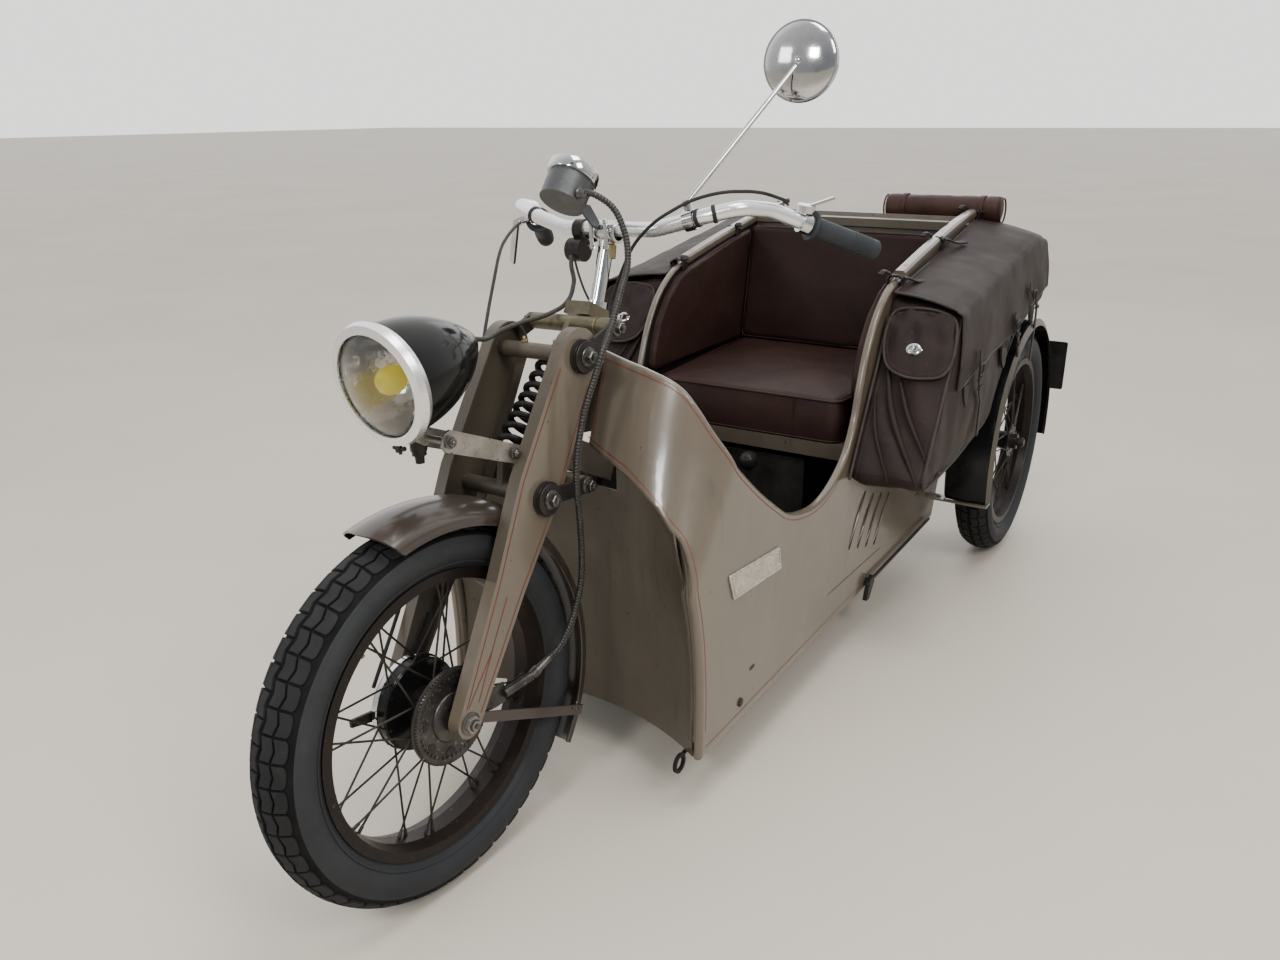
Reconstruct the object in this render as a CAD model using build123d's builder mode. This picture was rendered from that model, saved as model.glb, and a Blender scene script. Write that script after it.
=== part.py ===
from build123d import *
import math
import os

# Single-seat three-wheeled invalid carriage: one steered front wheel in a girder
# fork, an open scooter-like body with a bench seat, two rear wheels, leather bags.
# Row frame: +X towards the front wheel, +Y to the rider's left, +Z up, origin on the
# floor under the middle of the vehicle. Millimetres.

os.makedirs("parts", exist_ok=True)

# ---------------------------------------------------------------- driving dimensions
TYRE_R = 300.0          # outer radius of all three tyres
TYRE_HALF_W = 46.0      # half of the tyre section
RIM_R = 225.0           # rim flange radius
FRONT_X = 935.0         # front axle, wheels straight ahead
REAR_X = -865.0         # rear axle
TRACK_HALF = 397.0      # middle of a rear tyre from the centre line
BODY_HALF_W = 275.0     # outside of the side panels
PANEL_T = 16.0          # side panel thickness at its rolled rim
SHEET_T = 4.0
SILL_Z = 105.0
RAKE = 27.0             # steering axis, degrees back from vertical
HEAD_X, HEAD_Z = 484.0, 831.0   # top of the steering head on that axis
HEAD_LEN = 270.0        # length of the steering head tube
REST_TURN = -4.2        # the front wheel stands turned a little to the right
BLADE_OUT = 84.0        # outer face of a fork blade
BLADE_T = 4.0
FLANGE_IN = 62.0        # inner edge of a blade's flanges
# Front face of the cowl: the plane X = COWL_C + COWL_Y * Y + COWL_Z * Z.
COWL_C, COWL_Y, COWL_Z = 803.4, 0.208, -0.384
COWL_T = 12.0           # its thickness
COWL_INNER_Y = 35.0     # inner edge, beside the steering head
CORNER_R = 10.0         # cowl corner between front face and side
HEAD_GAP = 64.0         # half width of the gap round the steering head

U = (632.0, 792.0)      # upper fork pivot on the blades
L = (738.0, 592.0)      # lower fork pivot on the blades
HU = (545.0, 822.0)     # upper head pivot
HL = (640.0, 585.0)     # lower head pivot
A = (FRONT_X, TYRE_R)   # front axle

rake = math.radians(RAKE)
UP = Vector(-math.sin(rake), 0, math.cos(rake))      # along the steering axis
FWD = Vector(math.cos(rake), 0, math.sin(rake))      # square to it, forwards
HEAD = Vector(HEAD_X, 0, HEAD_Z)
STEERING = Axis(HEAD, UP)


def head_point(up, fwd, y=0.0):
    """A point measured along and square to the steering axis from the head's top."""
    return HEAD + UP * up + FWD * fwd + Vector(0, y, 0)


def side(y):
    """Sketch plane at Y = y whose local x and y are the row's X and Z."""
    return Plane(origin=(0, y, 0), x_dir=(1, 0, 0), z_dir=(0, -1, 0))


def cross(x):
    """Sketch plane at X = x whose local x and y are the row's Y and Z."""
    return Plane(origin=(x, 0, 0), x_dir=(0, 1, 0), z_dir=(1, 0, 0))


def head_plane(up):
    """Sketch plane square to the steering axis; local x is forwards, y is left."""
    return Plane(origin=head_point(up, 0), x_dir=FWD, z_dir=UP)


def write(piece, node, steered=False):
    """Label a finished piece and write it; the steered ones stand turned a little."""
    if steered:
        piece = piece.rotate(STEERING, REST_TURN)
    piece.label = node
    export_step(piece, f"parts/{node}.step")


# =============================================================== wheels
# A wheel is drawn about its own centre with the axle along Y, then placed.
# spokes: per flange, half slant one way and half the other.
SPOKE_R = 1.7
SPOKES_PER_FLANGE = 16


WHEEL_AXIS = Axis((0, 0, 0), (0, 1, 0))
BEAD = (213.6, 29.6)     # radius and half width of the tyre's bead
CROWN_R = TYRE_R

with BuildPart() as tyre:
    with BuildSketch(Plane.YZ):
        with BuildLine():
            Line((-BEAD[1], BEAD[0]), (BEAD[1], BEAD[0]))
            Line((BEAD[1], BEAD[0]), (BEAD[1], 229))
            ThreePointArc((BEAD[1], 229), (TYRE_HALF_W - 1, 256), (39, 284))
            ThreePointArc((39, 284), (0, CROWN_R), (-39, 284))
            ThreePointArc((-39, 284), (-TYRE_HALF_W + 1, 256), (-BEAD[1], 229))
            Line((-BEAD[1], 229), (-BEAD[1], BEAD[0]))
        make_face()
    revolve(axis=WHEEL_AXIS)

with BuildPart() as rim:
    with BuildSketch(Plane.YZ):
        with BuildLine():
            Polyline((-34, RIM_R), (-34, 209), (-14, 203), (14, 203), (34, 209),
                     (34, RIM_R), (30, RIM_R), (30, 213), (-30, 213), (-30, RIM_R),
                     close=True)
        make_face()
    revolve(axis=WHEEL_AXIS)

# Hub tables: (radius, y from, y to) of each turned step, and the flanges' radius and y.
FRONT_HUB = [(20, -46.5, 50), (52, 24, 28), (30, -20, 30), (72, -46, -20), (58, 30, 36),
             (76, 40, 46), (34, 28, 42)]
REAR_HUB = [(20, -46, 44), (46, 24, 28), (24, -30, 30), (72, -52, -22)]
FRONT_FLANGES = [(47, 26), (66, -24)]
REAR_FLANGES = [(42, 26), (66, -26)]
FRONT_BORE_R, REAR_BORE_R = 7.95, 10.05


def hub_with_spokes(steps, flanges, bore_r):
    with BuildPart() as hub:
        for r, y0, y1 in steps:
            with BuildSketch(Plane(origin=(0, y0, 0), x_dir=(1, 0, 0), z_dir=(0, 1, 0))):
                Circle(r)
            extrude(amount=y1 - y0)
        for radius, y in flanges:
            for k in range(SPOKES_PER_FLANGE):
                turn = 360.0 * k / SPOKES_PER_FLANGE + (0 if y > 0 else 180.0 / SPOKES_PER_FLANGE)
                lean = 58.0 if k % 2 else -58.0      # angle between hub end and rim end
                dy = 2.2 if k % 2 else -2.2
                a0 = math.radians(turn)
                a1 = math.radians(turn + lean * 0.62)
                p0 = Vector(radius * math.cos(a0), y + dy, radius * math.sin(a0))
                p1 = Vector(207 * math.cos(a1), 0.3 * y, 207 * math.sin(a1))
                with BuildSketch(Plane(origin=p0, z_dir=p1 - p0)):
                    Circle(SPOKE_R)
                extrude(amount=(p1 - p0).length)
        with BuildSketch(Plane(origin=(0, -80, 0), x_dir=(1, 0, 0), z_dir=(0, 1, 0))):
            Circle(bore_r)
        extrude(amount=160, mode=Mode.SUBTRACT)
    return hub.part


front_hub = hub_with_spokes(FRONT_HUB, FRONT_FLANGES, FRONT_BORE_R)
rear_hub = hub_with_spokes(REAR_HUB, REAR_FLANGES, REAR_BORE_R)

# wheels: name, X, Y, hub, does the wheel steer
write(tyre.part.moved(Location((FRONT_X, 0, TYRE_R))), "front_tyre", True)
write(rim.part.moved(Location((FRONT_X, 0, TYRE_R))), "front_rim", True)
write(front_hub.moved(Location((FRONT_X, 0, TYRE_R))), "front_hub", True)
for name, y, flip in (("left", TRACK_HALF, False), ("right", -TRACK_HALF, True)):
    here = Location((REAR_X, y, TYRE_R))
    hub = rear_hub.mirror(Plane.XZ) if flip else rear_hub
    write(tyre.part.moved(here), f"rear_{name}_tyre")
    write(rim.part.moved(here), f"rear_{name}_rim")
    write(hub.moved(here), f"rear_{name}_hub")

# =============================================================== body shell
# Side view of a side panel, clockwise from the sill's front end: (X, Z). The front
# edge follows the wheel, the top edge dips to the entry and rises to the armrest.
FRONT_EDGE = [(600, SILL_Z), (597, 223), (608, 342), (636, 426)]
COWL_SIDE = [(COWL_C + COWL_Y * BODY_HALF_W + COWL_Z * z, z)    # the cowl's corner,
             for z in (510, 709)]                              # left side only
LOW_SIDE = [(643, 446), (560, 449), (430, 436), (300, 424), (192, 419)]   # right side
LEFT_WAVE = [(550, 663), (477, 599), (398, 535), (333, 489), (264, 446), (192, 425)]
DIP = [(118, 419), (42, 438), (-23, 478), (-64, 542), (-82, 602), (-114, 680),
       (-162, 745), (-217, 785)]
ARM_TOP = [(-254, 800), (-475, 843), (-708, 880), (-840, 893)]
REAR_EDGE = [(-856, 880), (-790, 330), (-700, SILL_Z)]
# Cooling louvres low behind the entry: ends of each slanted slot (X0, Z0, X1, Z1).
LOUVRES = [(-130, 335, -71, 257), (-185, 313, -126, 240), (-240, 296, -181, 223),
           (-295, 280, -236, 207)]
# Outline of the cowl's front face: (Y, Z) along its top edge outwards and back along
# the arch edge over the wheel.
COWL_TOP = [(COWL_INNER_Y, 776), (81, 769), (112, 765), (151, 760), (201, 749), (239, 733),
            (BODY_HALF_W, 709)]
COWL_ARCH = [(BODY_HALF_W, 510), (250, 532), (223, 553), (189, 573), (145, 593), (77, 613),
             (COWL_INNER_Y, 627)]
cowl_normal = Vector(1, -COWL_Y, -COWL_Z).normalized()


def cowl_point(y, z):
    return Vector(COWL_C + COWL_Y * y + COWL_Z * z, y, z)


def cowl_plane(back):
    """Sketch plane parallel to the cowl's face and this far behind it."""
    return Plane(origin=cowl_point(COWL_INNER_Y, 627) - cowl_normal * back,
                 x_dir=Vector(COWL_Y, 1, 0), z_dir=cowl_normal)


def on_cowl(points):
    """The cowl plane's local coordinates of (Y, Z) points of the face."""
    local = [cowl_plane(0).to_local_coords(cowl_point(y, z)) for y, z in points]
    return [(p.X, p.Y) for p in local]


# side: sign of Y, points between the front edge and the entry's lowest point
for name, sign, front_top in (("left", 1, COWL_SIDE + LEFT_WAVE), ("right", -1, LOW_SIDE)):
    with BuildPart() as panel:
        with BuildSketch(side(BODY_HALF_W)):
            with BuildLine():
                Polyline(*FRONT_EDGE, *front_top, *DIP, *ARM_TOP, *REAR_EDGE, close=True)
            make_face()
        extrude(amount=PANEL_T)
        if sign > 0:
            with BuildSketch(cowl_plane(0)):
                with BuildLine():
                    Polyline(*on_cowl(COWL_TOP + COWL_ARCH), close=True)
                make_face()
            extrude(amount=-COWL_T)
            with BuildSketch(side(BODY_HALF_W + 10)):
                with Locations((600, 600)):
                    Rectangle(400, 400)
            extrude(amount=10, mode=Mode.SUBTRACT)
            corner = Vector(626, BODY_HALF_W, 610)
            fillet(panel.edges().sort_by_distance(corner)[0], radius=CORNER_R)
        for x0, z0, x1, z1 in LOUVRES:
            with BuildSketch(side(BODY_HALF_W + 5)):
                with Locations(((x0 + x1) / 2, (z0 + z1) / 2)):
                    SlotOverall(math.hypot(x1 - x0, z1 - z0), 9,
                                rotation=math.degrees(math.atan2(z1 - z0, x1 - x0)))
            extrude(amount=40, mode=Mode.SUBTRACT)
    write(panel.part if sign > 0 else panel.part.mirror(Plane.XZ), f"{name}_side_panel")

# Hollow front sheet behind the wheel: an arc in plan, carried up to the cowl.
# sections: Z, X of the edges, X of the middle, half width
FRONT_SHEET = [(SILL_Z, 596, 524, 257), (240, 592, 521, 257), (342, 602, 520, 257),
               (430, 630, 520, 257), (520, 652, 520, 257), (700, 652, 524, 257)]
with BuildPart() as front_sheet:
    for z, x_edge, x_mid, half in FRONT_SHEET:
        with BuildSketch(Plane.XY.offset(z)):
            with BuildLine():
                ThreePointArc((x_edge, half), (x_mid, 0), (x_edge, -half))
                Line((x_edge, -half), (x_edge - SHEET_T - 1, -half))
                ThreePointArc((x_edge - SHEET_T - 1, -half), (x_mid - SHEET_T, 0),
                              (x_edge - SHEET_T - 1, half))
                Line((x_edge - SHEET_T - 1, half), (x_edge, half))
            make_face()
    loft()
    # gap for the steering head, and the lower top edge on the right side
    with BuildSketch(cross(400)):
        with BuildLine():
            Polyline((HEAD_GAP, 535), (HEAD_GAP, 800), (-300, 800), (-300, 440), (-262, 444),
                     (-165, 572), (-HEAD_GAP, 590), (-HEAD_GAP, 535), close=True)
        make_face()
    extrude(amount=400, mode=Mode.SUBTRACT)
    # ends where it meets the back of the cowl
    with BuildSketch(cowl_plane(COWL_T + 0.4)):
        with BuildLine():
            Polyline(*on_cowl([(0, 480), (300, 480), (300, 900), (0, 900)]), close=True)
        make_face()
    extrude(amount=400, mode=Mode.SUBTRACT)
write(front_sheet.part, "front_arch_panel")

# Floor: one plate between the side panels, its front edge following the front sheet,
# with a tie-down ring on a tab under each front corner.
with BuildPart() as floor:
    with BuildSketch(Plane.XY.offset(SILL_Z + 2)):
        with BuildLine():
            ThreePointArc((586, 256), (513, 0), (586, -256))
            Polyline((586, -256), (-688, -256), (-688, 256), (586, 256))
        make_face()
    extrude(amount=SHEET_T)
    for y in (238, -232):
        with BuildSketch(side(y)):
            with Locations((604, 90)):
                Circle(18)
                Circle(12, mode=Mode.SUBTRACT)
            with BuildLine():
                Polyline((550, 107.5), (571, 107.5), (571, 104.5), (592, 104.5), (594, 99),
                         (550, 101), close=True)
            make_face()
        extrude(amount=6)
write(floor.part, "floor_pan")

# Rear sheet of the body, sloping with the rear edge, notched round the springs.
RAIL_Y = 170.0
with BuildPart() as rear_sheet:
    with BuildSketch(side(257)):
        with BuildLine():
            Polyline((-697, SILL_Z + 8), (-786, 330), (-846, 830), (-852, 884), (-848, 884),
                     (-842, 830), (-782, 330), (-693, SILL_Z + 8), close=True)
        make_face()
    extrude(amount=514)
    with BuildSketch(cross(-900)):
        with Locations((RAIL_Y, 205), (-RAIL_Y, 205)):
            Rectangle(54, 156)
    extrude(amount=300, mode=Mode.SUBTRACT)
write(rear_sheet.part, "rear_panel")

# Seat frame: board on front and rear rails, and the back board under its top rail.
SEAT_FRONT_X, SEAT_REAR_X, SEAT_Z = -108.0, -610.0, 470.0
with BuildPart() as seat_frame:
    with BuildSketch(Plane.XY.offset(SEAT_Z - 16)):
        with Locations(((SEAT_FRONT_X + SEAT_REAR_X) / 2, 0)):
            Rectangle(SEAT_FRONT_X - SEAT_REAR_X + 30, 516)
    extrude(amount=15.5)
    with BuildSketch(Plane.XY.offset(SEAT_Z - 34)):
        with Locations((SEAT_FRONT_X + 5, 0), (SEAT_REAR_X + 10, 0)):
            Rectangle(20, 516)
    extrude(amount=18)
    with BuildSketch(side(257)):
        with BuildLine():
            Polyline((-612, SEAT_Z - 4), (-668, 872), (-682, 872), (-624, SEAT_Z - 4),
                     close=True)
        make_face()
        with Locations((-672, 878)):
            Rectangle(34, 20)
    extrude(amount=514)
write(seat_frame.part, "seat_frame")

# =============================================================== chassis
CROSS_X = (450, 60, -330, -673)
FOOT = Vector(450, 0, SILL_Z + 30)
POST_TOP = head_point(-265, -122)
with BuildPart() as chassis:
    # post from the front cross member up to the steering head's block
    with BuildSketch(Plane(origin=FOOT, z_dir=POST_TOP - FOOT)):
        Circle(17)
    extrude(amount=(POST_TOP - FOOT).length + 40)
    split(bisect_by=head_plane(-265), keep=Keep.BOTTOM)
    for y in (RAIL_Y, -RAIL_Y):
        with BuildSketch(cross(-688)):
            with Locations((y, SILL_Z + 22)):
                Rectangle(30, 28)
        extrude(amount=1168)
    for x in CROSS_X:
        with BuildSketch(side(RAIL_Y)):
            with Locations((x, SILL_Z + 22)):
                Rectangle(30, 24)
        extrude(amount=2 * RAIL_Y)
write(chassis.part, "chassis_frame")

# Steering head: a tube on the steering axis with a block that stands on the post, and
# a lug to the back of the cowl.
with BuildPart() as head:
    with BuildSketch(head_plane(-HEAD_LEN)):
        Circle(26)
    extrude(amount=HEAD_LEN - 22)
    with BuildSketch(head_plane(-HEAD_LEN)):
        Circle(31)
    extrude(amount=16)
    with BuildSketch(head_plane(-40)):
        Circle(31)
    extrude(amount=16)
    with BuildSketch(cowl_plane(COWL_T)):
        with BuildLine():
            Polyline(*on_cowl([(0, 762), (60, 752), (60, 660), (0, 640)]), close=True)
        make_face()
    extrude(amount=-7)
    with BuildSketch(head_plane(-265)):
        with Locations((-81, 0)):
            Rectangle(122, 38)
    extrude(amount=50)
    with BuildSketch(head_plane(-320)):
        Circle(14.2)
    extrude(amount=400, mode=Mode.SUBTRACT)
write(head.part, "steering_head")

# Engine: one plain block low under the seat.
with BuildPart() as engine:
    with BuildSketch(Plane.XY.offset(SILL_Z + 34)):
        with Locations((-330, 0)):
            Rectangle(300, 230)
    extrude(amount=256)
write(engine.part, "engine_block")

# Gear lever beside the engine, under the seat's front edge.
with BuildPart() as gear_lever:
    a, b = Vector(-59, 59, SILL_Z + 14), Vector(-40, 40, 405)
    with BuildSketch(Plane(origin=a, z_dir=b - a)):
        Circle(7)
    extrude(amount=(b - a).length)
    with BuildSketch(Plane.XY.offset(SILL_Z + 6)):
        with Locations((-60, 60)):
            Rectangle(60, 44)
    extrude(amount=14)
    with Locations((-39, 40, 420)):
        Sphere(21)
write(gear_lever.part, "gear_lever")

# =============================================================== soft parts
with BuildPart() as cushion:
    with BuildSketch(Plane.XY.offset(SEAT_Z)):
        with BuildLine():
            Polyline((-95, 222), (-95, -222), (-600, -254), (-600, 254), close=True)
        make_face()
    extrude(amount=100)
write(cushion.part, "seat_cushion")

with BuildPart() as backrest:
    with BuildSketch(side(248)):
        with BuildLine():
            Polyline((-560, 574), (-612, 866), (-664, 866), (-623, 574), close=True)
        make_face()
    extrude(amount=496)
write(backrest.part, "backrest_pad")

with BuildPart() as side_pads:
    for y in (258.5, -240.5):
        with BuildSketch(side(y)):
            with BuildLine():
                Polyline((-556, 574), (-130, 574), (-150, 640), (-205, 742), (-262, 778),
                         (-606, 842), close=True)
            make_face()
        extrude(amount=18)
write(side_pads.part, "side_pads")

# Bags: hung outside each side panel from the armrest, cut up over the rear wheel.
# (X, Z) outlines of the inner and the outer face.
BAG_BOTTOM = [(-15, 415), (-275, 425), (-500, 450), (-560, 500), (-620, 560), (-700, 615),
              (-780, 645), (-975, 668)]
BAG_IN = [(-232, 768), *BAG_BOTTOM, (-985, 705), (-856, 868)]
BAG_OUT = [(-210, 742), *BAG_BOTTOM, (-1000, 705), (-890, 836)]
BAG_OUT_Y = 435.0
with BuildPart() as bags:
    for sign in (1, -1):
        with BuildSketch(side(sign * (BODY_HALF_W + 1))):
            with BuildLine():
                Polyline(*BAG_IN, close=True)
            make_face()
        with BuildSketch(side(sign * BAG_OUT_Y)):
            with BuildLine():
                Polyline(*BAG_OUT, close=True)
            make_face()
        loft()
write(bags.part, "panniers")

# Leather roll strapped behind the rear panel.
with BuildPart() as roll:
    with BuildSketch(side(334)):
        with Locations((-888.4, 899)):
            Circle(36)
    extrude(amount=308)
write(roll.part, "rear_roll")

# =============================================================== rear suspension
with BuildPart() as axle:
    with BuildSketch(side(TRACK_HALF + 62)):
        with Locations((REAR_X, TYRE_R)):
            Circle(10)
    extrude(amount=2 * (TRACK_HALF + 62))
    with BuildSketch(side(TRACK_HALF - 58)):
        with Locations((REAR_X, TYRE_R)):
            Circle(21)
    extrude(amount=2 * (TRACK_HALF - 58))
    for y in (TRACK_HALF + 58, -(TRACK_HALF + 46)):
        with BuildSketch(side(y)):
            with Locations((REAR_X, TYRE_R)):
                RegularPolygon(14, 6)
        extrude(amount=12)
write(axle.part, "rear_axle")

# Quarter-elliptic leaf springs: clamped on the chassis rails, eye under the axle.
# leaves: length forwards of the axle, and how far below the axle centre each lies
with BuildPart() as springs:
    for y in (RAIL_Y, -RAIL_Y):
        for i, length in enumerate((0, 60, 130)):
            with BuildSketch(side(y + 20)):
                with BuildLine():
                    z = 262 - 7 * i
                    Polyline((REAR_X - 20 + length, z), (-540, 148 - 7 * i + 14),
                             (-540, 155 - 7 * i + 14), (REAR_X - 20 + length, z + 7), close=True)
                make_face()
            extrude(amount=40)
        # saddle under the axle and seat on the chassis rail
        with BuildSketch(side(y + 24)):
            with Locations((REAR_X, 266)):
                Rectangle(46, 26)
        extrude(amount=48)
        with BuildSketch(side(y + 15)):
            with Locations((-575, SILL_Z + 43)):
                Rectangle(70, 14)
        extrude(amount=30)
write(springs.part, "rear_springs")

# Rear mudguards: an arched channel over each wheel, with a front strap to the body.
MUD_R = 335.0
GUARD_ARC = 204.0        # degrees of the wheel's rim that each one covers
with BuildPart() as rear_guards:
    for sign in (1, -1):
        with BuildSketch(Plane.YZ.offset(REAR_X)):
            with BuildLine():
                y = sign * TRACK_HALF
                Polyline((y - 58, TYRE_R + MUD_R - 22), (y - 50, TYRE_R + MUD_R - 4),
                         (y, TYRE_R + MUD_R), (y + 50, TYRE_R + MUD_R - 4),
                         (y + 58, TYRE_R + MUD_R - 22), (y + 55, TYRE_R + MUD_R - 22),
                         (y + 48, TYRE_R + MUD_R - 7), (y, TYRE_R + MUD_R - 3.5),
                         (y - 48, TYRE_R + MUD_R - 7), (y - 55, TYRE_R + MUD_R - 22),
                         close=True)
            make_face()
    revolve(axis=Axis((REAR_X, 0, TYRE_R), (0, 1, 0)), revolution_arc=GUARD_ARC)
guards = rear_guards.part.rotate(Axis((REAR_X, 0, TYRE_R), (0, 1, 0)), -GUARD_ARC / 2 + 1)
write(guards, "rear_mudguards")

# Straps that carry the mudguards from the body: low in front and over the top.
with BuildPart() as guard_stays:
    for sign in (1, -1):
        # middle X, Z, size in X, size in Z, outer Y
        for x, z, dx, dz, y_out in ((-549, 222, 38, 5, 452), (-810, 634.6, 24, 4, 402)):
            y_mid, width = (y_out + BODY_HALF_W + 0.5) / 2, y_out - BODY_HALF_W - 0.5
            with BuildSketch(side(sign * y_mid + width / 2)):
                with Locations((x, z)):
                    Rectangle(dx, dz)
            extrude(amount=width)
write(guard_stays.part, "rear_mudguard_stays")

# =============================================================== girder fork
ux, uz = U
ax, az = A
S0, S1 = Vector(603, 0, 762), Vector(723, 0, 648)   # ends of the fork spring's axis
SPRING_DIR = (S1 - S0).normalized()
COIL_R, WIRE_R, COIL_TURNS = 22.0, 4.6, 8
blade_dir = Vector(ax - ux, az - uz).normalized()
blade_nrm = Vector(-blade_dir.Y, blade_dir.X)      # square to the blade, upwards
# blade outline: distance along the blade from the upper pivot, half width there
BLADE = [(0, 44), (215, 51), (370, 35), (578, 24)]


def blade_points(inset):
    """Fore and aft edges and the two round ends of the blade, shrunk by inset."""
    fore = [Vector(ux, uz) + blade_dir * s + blade_nrm * (h - inset) for s, h in BLADE]
    aft = [Vector(ux, uz) + blade_dir * s - blade_nrm * (h - inset) for s, h in BLADE]
    tip0 = Vector(ux, uz) - blade_dir * (BLADE[0][1] - inset)
    tip1 = Vector(ax, az) + blade_dir * (BLADE[-1][1] - inset)
    return ([(v.X, v.Y) for v in fore], [(v.X, v.Y) for v in reversed(aft)],
            (tip0.X, tip0.Y), (tip1.X, tip1.Y))


with BuildPart() as blades:
    for sign in (1, -1):
        # (sketch Y, inset, depth, mode) of the channel and of its hollow
        for y, inset, mode in ((sign * BLADE_OUT, 0, Mode.ADD),
                               (sign * (BLADE_OUT - BLADE_T), BLADE_T, Mode.SUBTRACT)):
            fore, aft, tip0, tip1 = blade_points(inset)
            with BuildSketch(side(y)):
                with BuildLine():
                    Polyline(*fore)
                    ThreePointArc(fore[-1], tip1, aft[0])
                    Polyline(*aft)
                    ThreePointArc(aft[-1], tip0, fore[0])
                make_face()
            extrude(amount=sign * (BLADE_OUT - FLANGE_IN), mode=mode)
    # foot of the spring: a cup on a web from the lower cross tube
    with BuildSketch(Plane(origin=S1 + SPRING_DIR * (WIRE_R + 0.5), z_dir=SPRING_DIR)):
        Circle(25)
    extrude(amount=4)
    with BuildSketch(side(6)):
        with BuildLine():
            f = S1 + SPRING_DIR * (WIRE_R + 2)
            n = Vector(SPRING_DIR.Z, 0, -SPRING_DIR.X)
            Polyline(*[(v.X, v.Z) for v in (f - n * 17, f + n * 17)],
                     (L[0] - 11, L[1]), (L[0] + 11, L[1]), close=True)
        make_face()
    extrude(amount=12)
    # cross tubes between the blades at the two pivots
    for x, z, r in ((ux, uz, 13), (L[0], L[1], 13)):
        with BuildSketch(side(BLADE_OUT - BLADE_T + 1)):
            with Locations((x, z)):
                Circle(r)
        extrude(amount=2 * (BLADE_OUT - BLADE_T + 1))
        with BuildSketch(side(BLADE_OUT + 2)):
            with Locations((x, z)):
                Circle(6.2)
        extrude(amount=2 * (BLADE_OUT + 2), mode=Mode.SUBTRACT)
    # axle holes
    with BuildSketch(side(BLADE_OUT + 2)):
        with Locations((ax, az)):
            Circle(8)
    extrude(amount=2 * (BLADE_OUT + 2), mode=Mode.SUBTRACT)
write(blades.part, "fork_blades", True)

# Steering stem: tube in the head, upper and lower yokes with the head pivots, a domed
# cap, and the spring's upper cup.
LINK_Y0, LINK_Y1 = BLADE_OUT + 0.5, BLADE_OUT + 6.5
with BuildPart() as stem:
    with BuildSketch(head_plane(-HEAD_LEN - 24)):
        Circle(14)
    extrude(amount=HEAD_LEN + 24 + 6)
    with BuildSketch(head_plane(-20)):
        Circle(30)
    extrude(amount=26, taper=16)
    with BuildSketch(Plane(origin=S0 - SPRING_DIR * (WIRE_R + 0.5), z_dir=-SPRING_DIR)):
        Circle(25)
    extrude(amount=4)
    with BuildSketch(side(5)):
        with BuildLine():
            f = S0 - SPRING_DIR * (WIRE_R + 2)
            n = Vector(SPRING_DIR.Z, 0, -SPRING_DIR.X)
            Polyline((HU[0], HU[1] - 12), (HU[0] + 8, HU[1] + 11),
                     *[(v.X, v.Z) for v in (f - n * 13, f + n * 13)], close=True)
        make_face()
    extrude(amount=10)
    with BuildSketch(head_plane(-HEAD_LEN - 26)):
        Circle(30)
    extrude(amount=22)
    for (px, pz), level, thick in ((HU, -18, 22), (HL, -HEAD_LEN - 24, 18)):
        reach = (Vector(px, 0, pz) - head_point(level + thick / 2, 0)).dot(FWD)
        with BuildSketch(head_plane(level)):
            with Locations((reach / 2, 0)):
                Rectangle(reach, 52)
        extrude(amount=thick)
        with BuildSketch(side(BLADE_OUT)):
            with Locations((px, pz)):
                Circle(14)
        extrude(amount=2 * BLADE_OUT)
        with BuildSketch(side(LINK_Y1 + 12)):
            with Locations((px, pz)):
                Circle(6)
        extrude(amount=2 * (LINK_Y1 + 12))
write(stem.part, "steering_stem", True)

# Links: flat bars outside the blades between head and blade pivots, with a friction
# disc and a bolt through the blade's cross tube at each blade pivot.
with BuildPart() as links:
    for (x0, z0), (x1, z1) in ((HU, U), (HL, L)):
        for y in (LINK_Y1, -LINK_Y0):
            mid = ((x0 + x1) / 2, (z0 + z1) / 2)
            ang = math.degrees(math.atan2(z1 - z0, x1 - x0))
            length = math.hypot(x1 - x0, z1 - z0)
            with BuildSketch(side(y)):
                with Locations(mid):
                    SlotCenterToCenter(length, 26, rotation=ang)
                with Locations((x1, z1)):
                    Circle(27)
                with Locations((x0, z0)):
                    Circle(6.1, mode=Mode.SUBTRACT)
            extrude(amount=LINK_Y1 - LINK_Y0)
        with BuildSketch(side(LINK_Y1 + 14)):
            with Locations((x1, z1)):
                Circle(6)
        extrude(amount=2 * (LINK_Y1 + 14))
        for y in (LINK_Y1 + 10, -LINK_Y1):
            with BuildSketch(side(y)):
                with Locations((x1, z1)):
                    Circle(13)
            extrude(amount=10)
write(links.part, "fork_links", True)

# Coil spring between the two cups.
with BuildPart() as spring:
    axis_len = (S1 - S0).length
    with BuildLine() as coil_path:
        Helix(pitch=axis_len / COIL_TURNS, height=axis_len, radius=COIL_R, center=S0,
              direction=S1 - S0)
    with BuildSketch(Plane(origin=coil_path.line @ 0, z_dir=coil_path.line % 0)):
        Circle(WIRE_R)
    sweep(is_frenet=True)
write(spring.part, "fork_spring", True)

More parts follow.
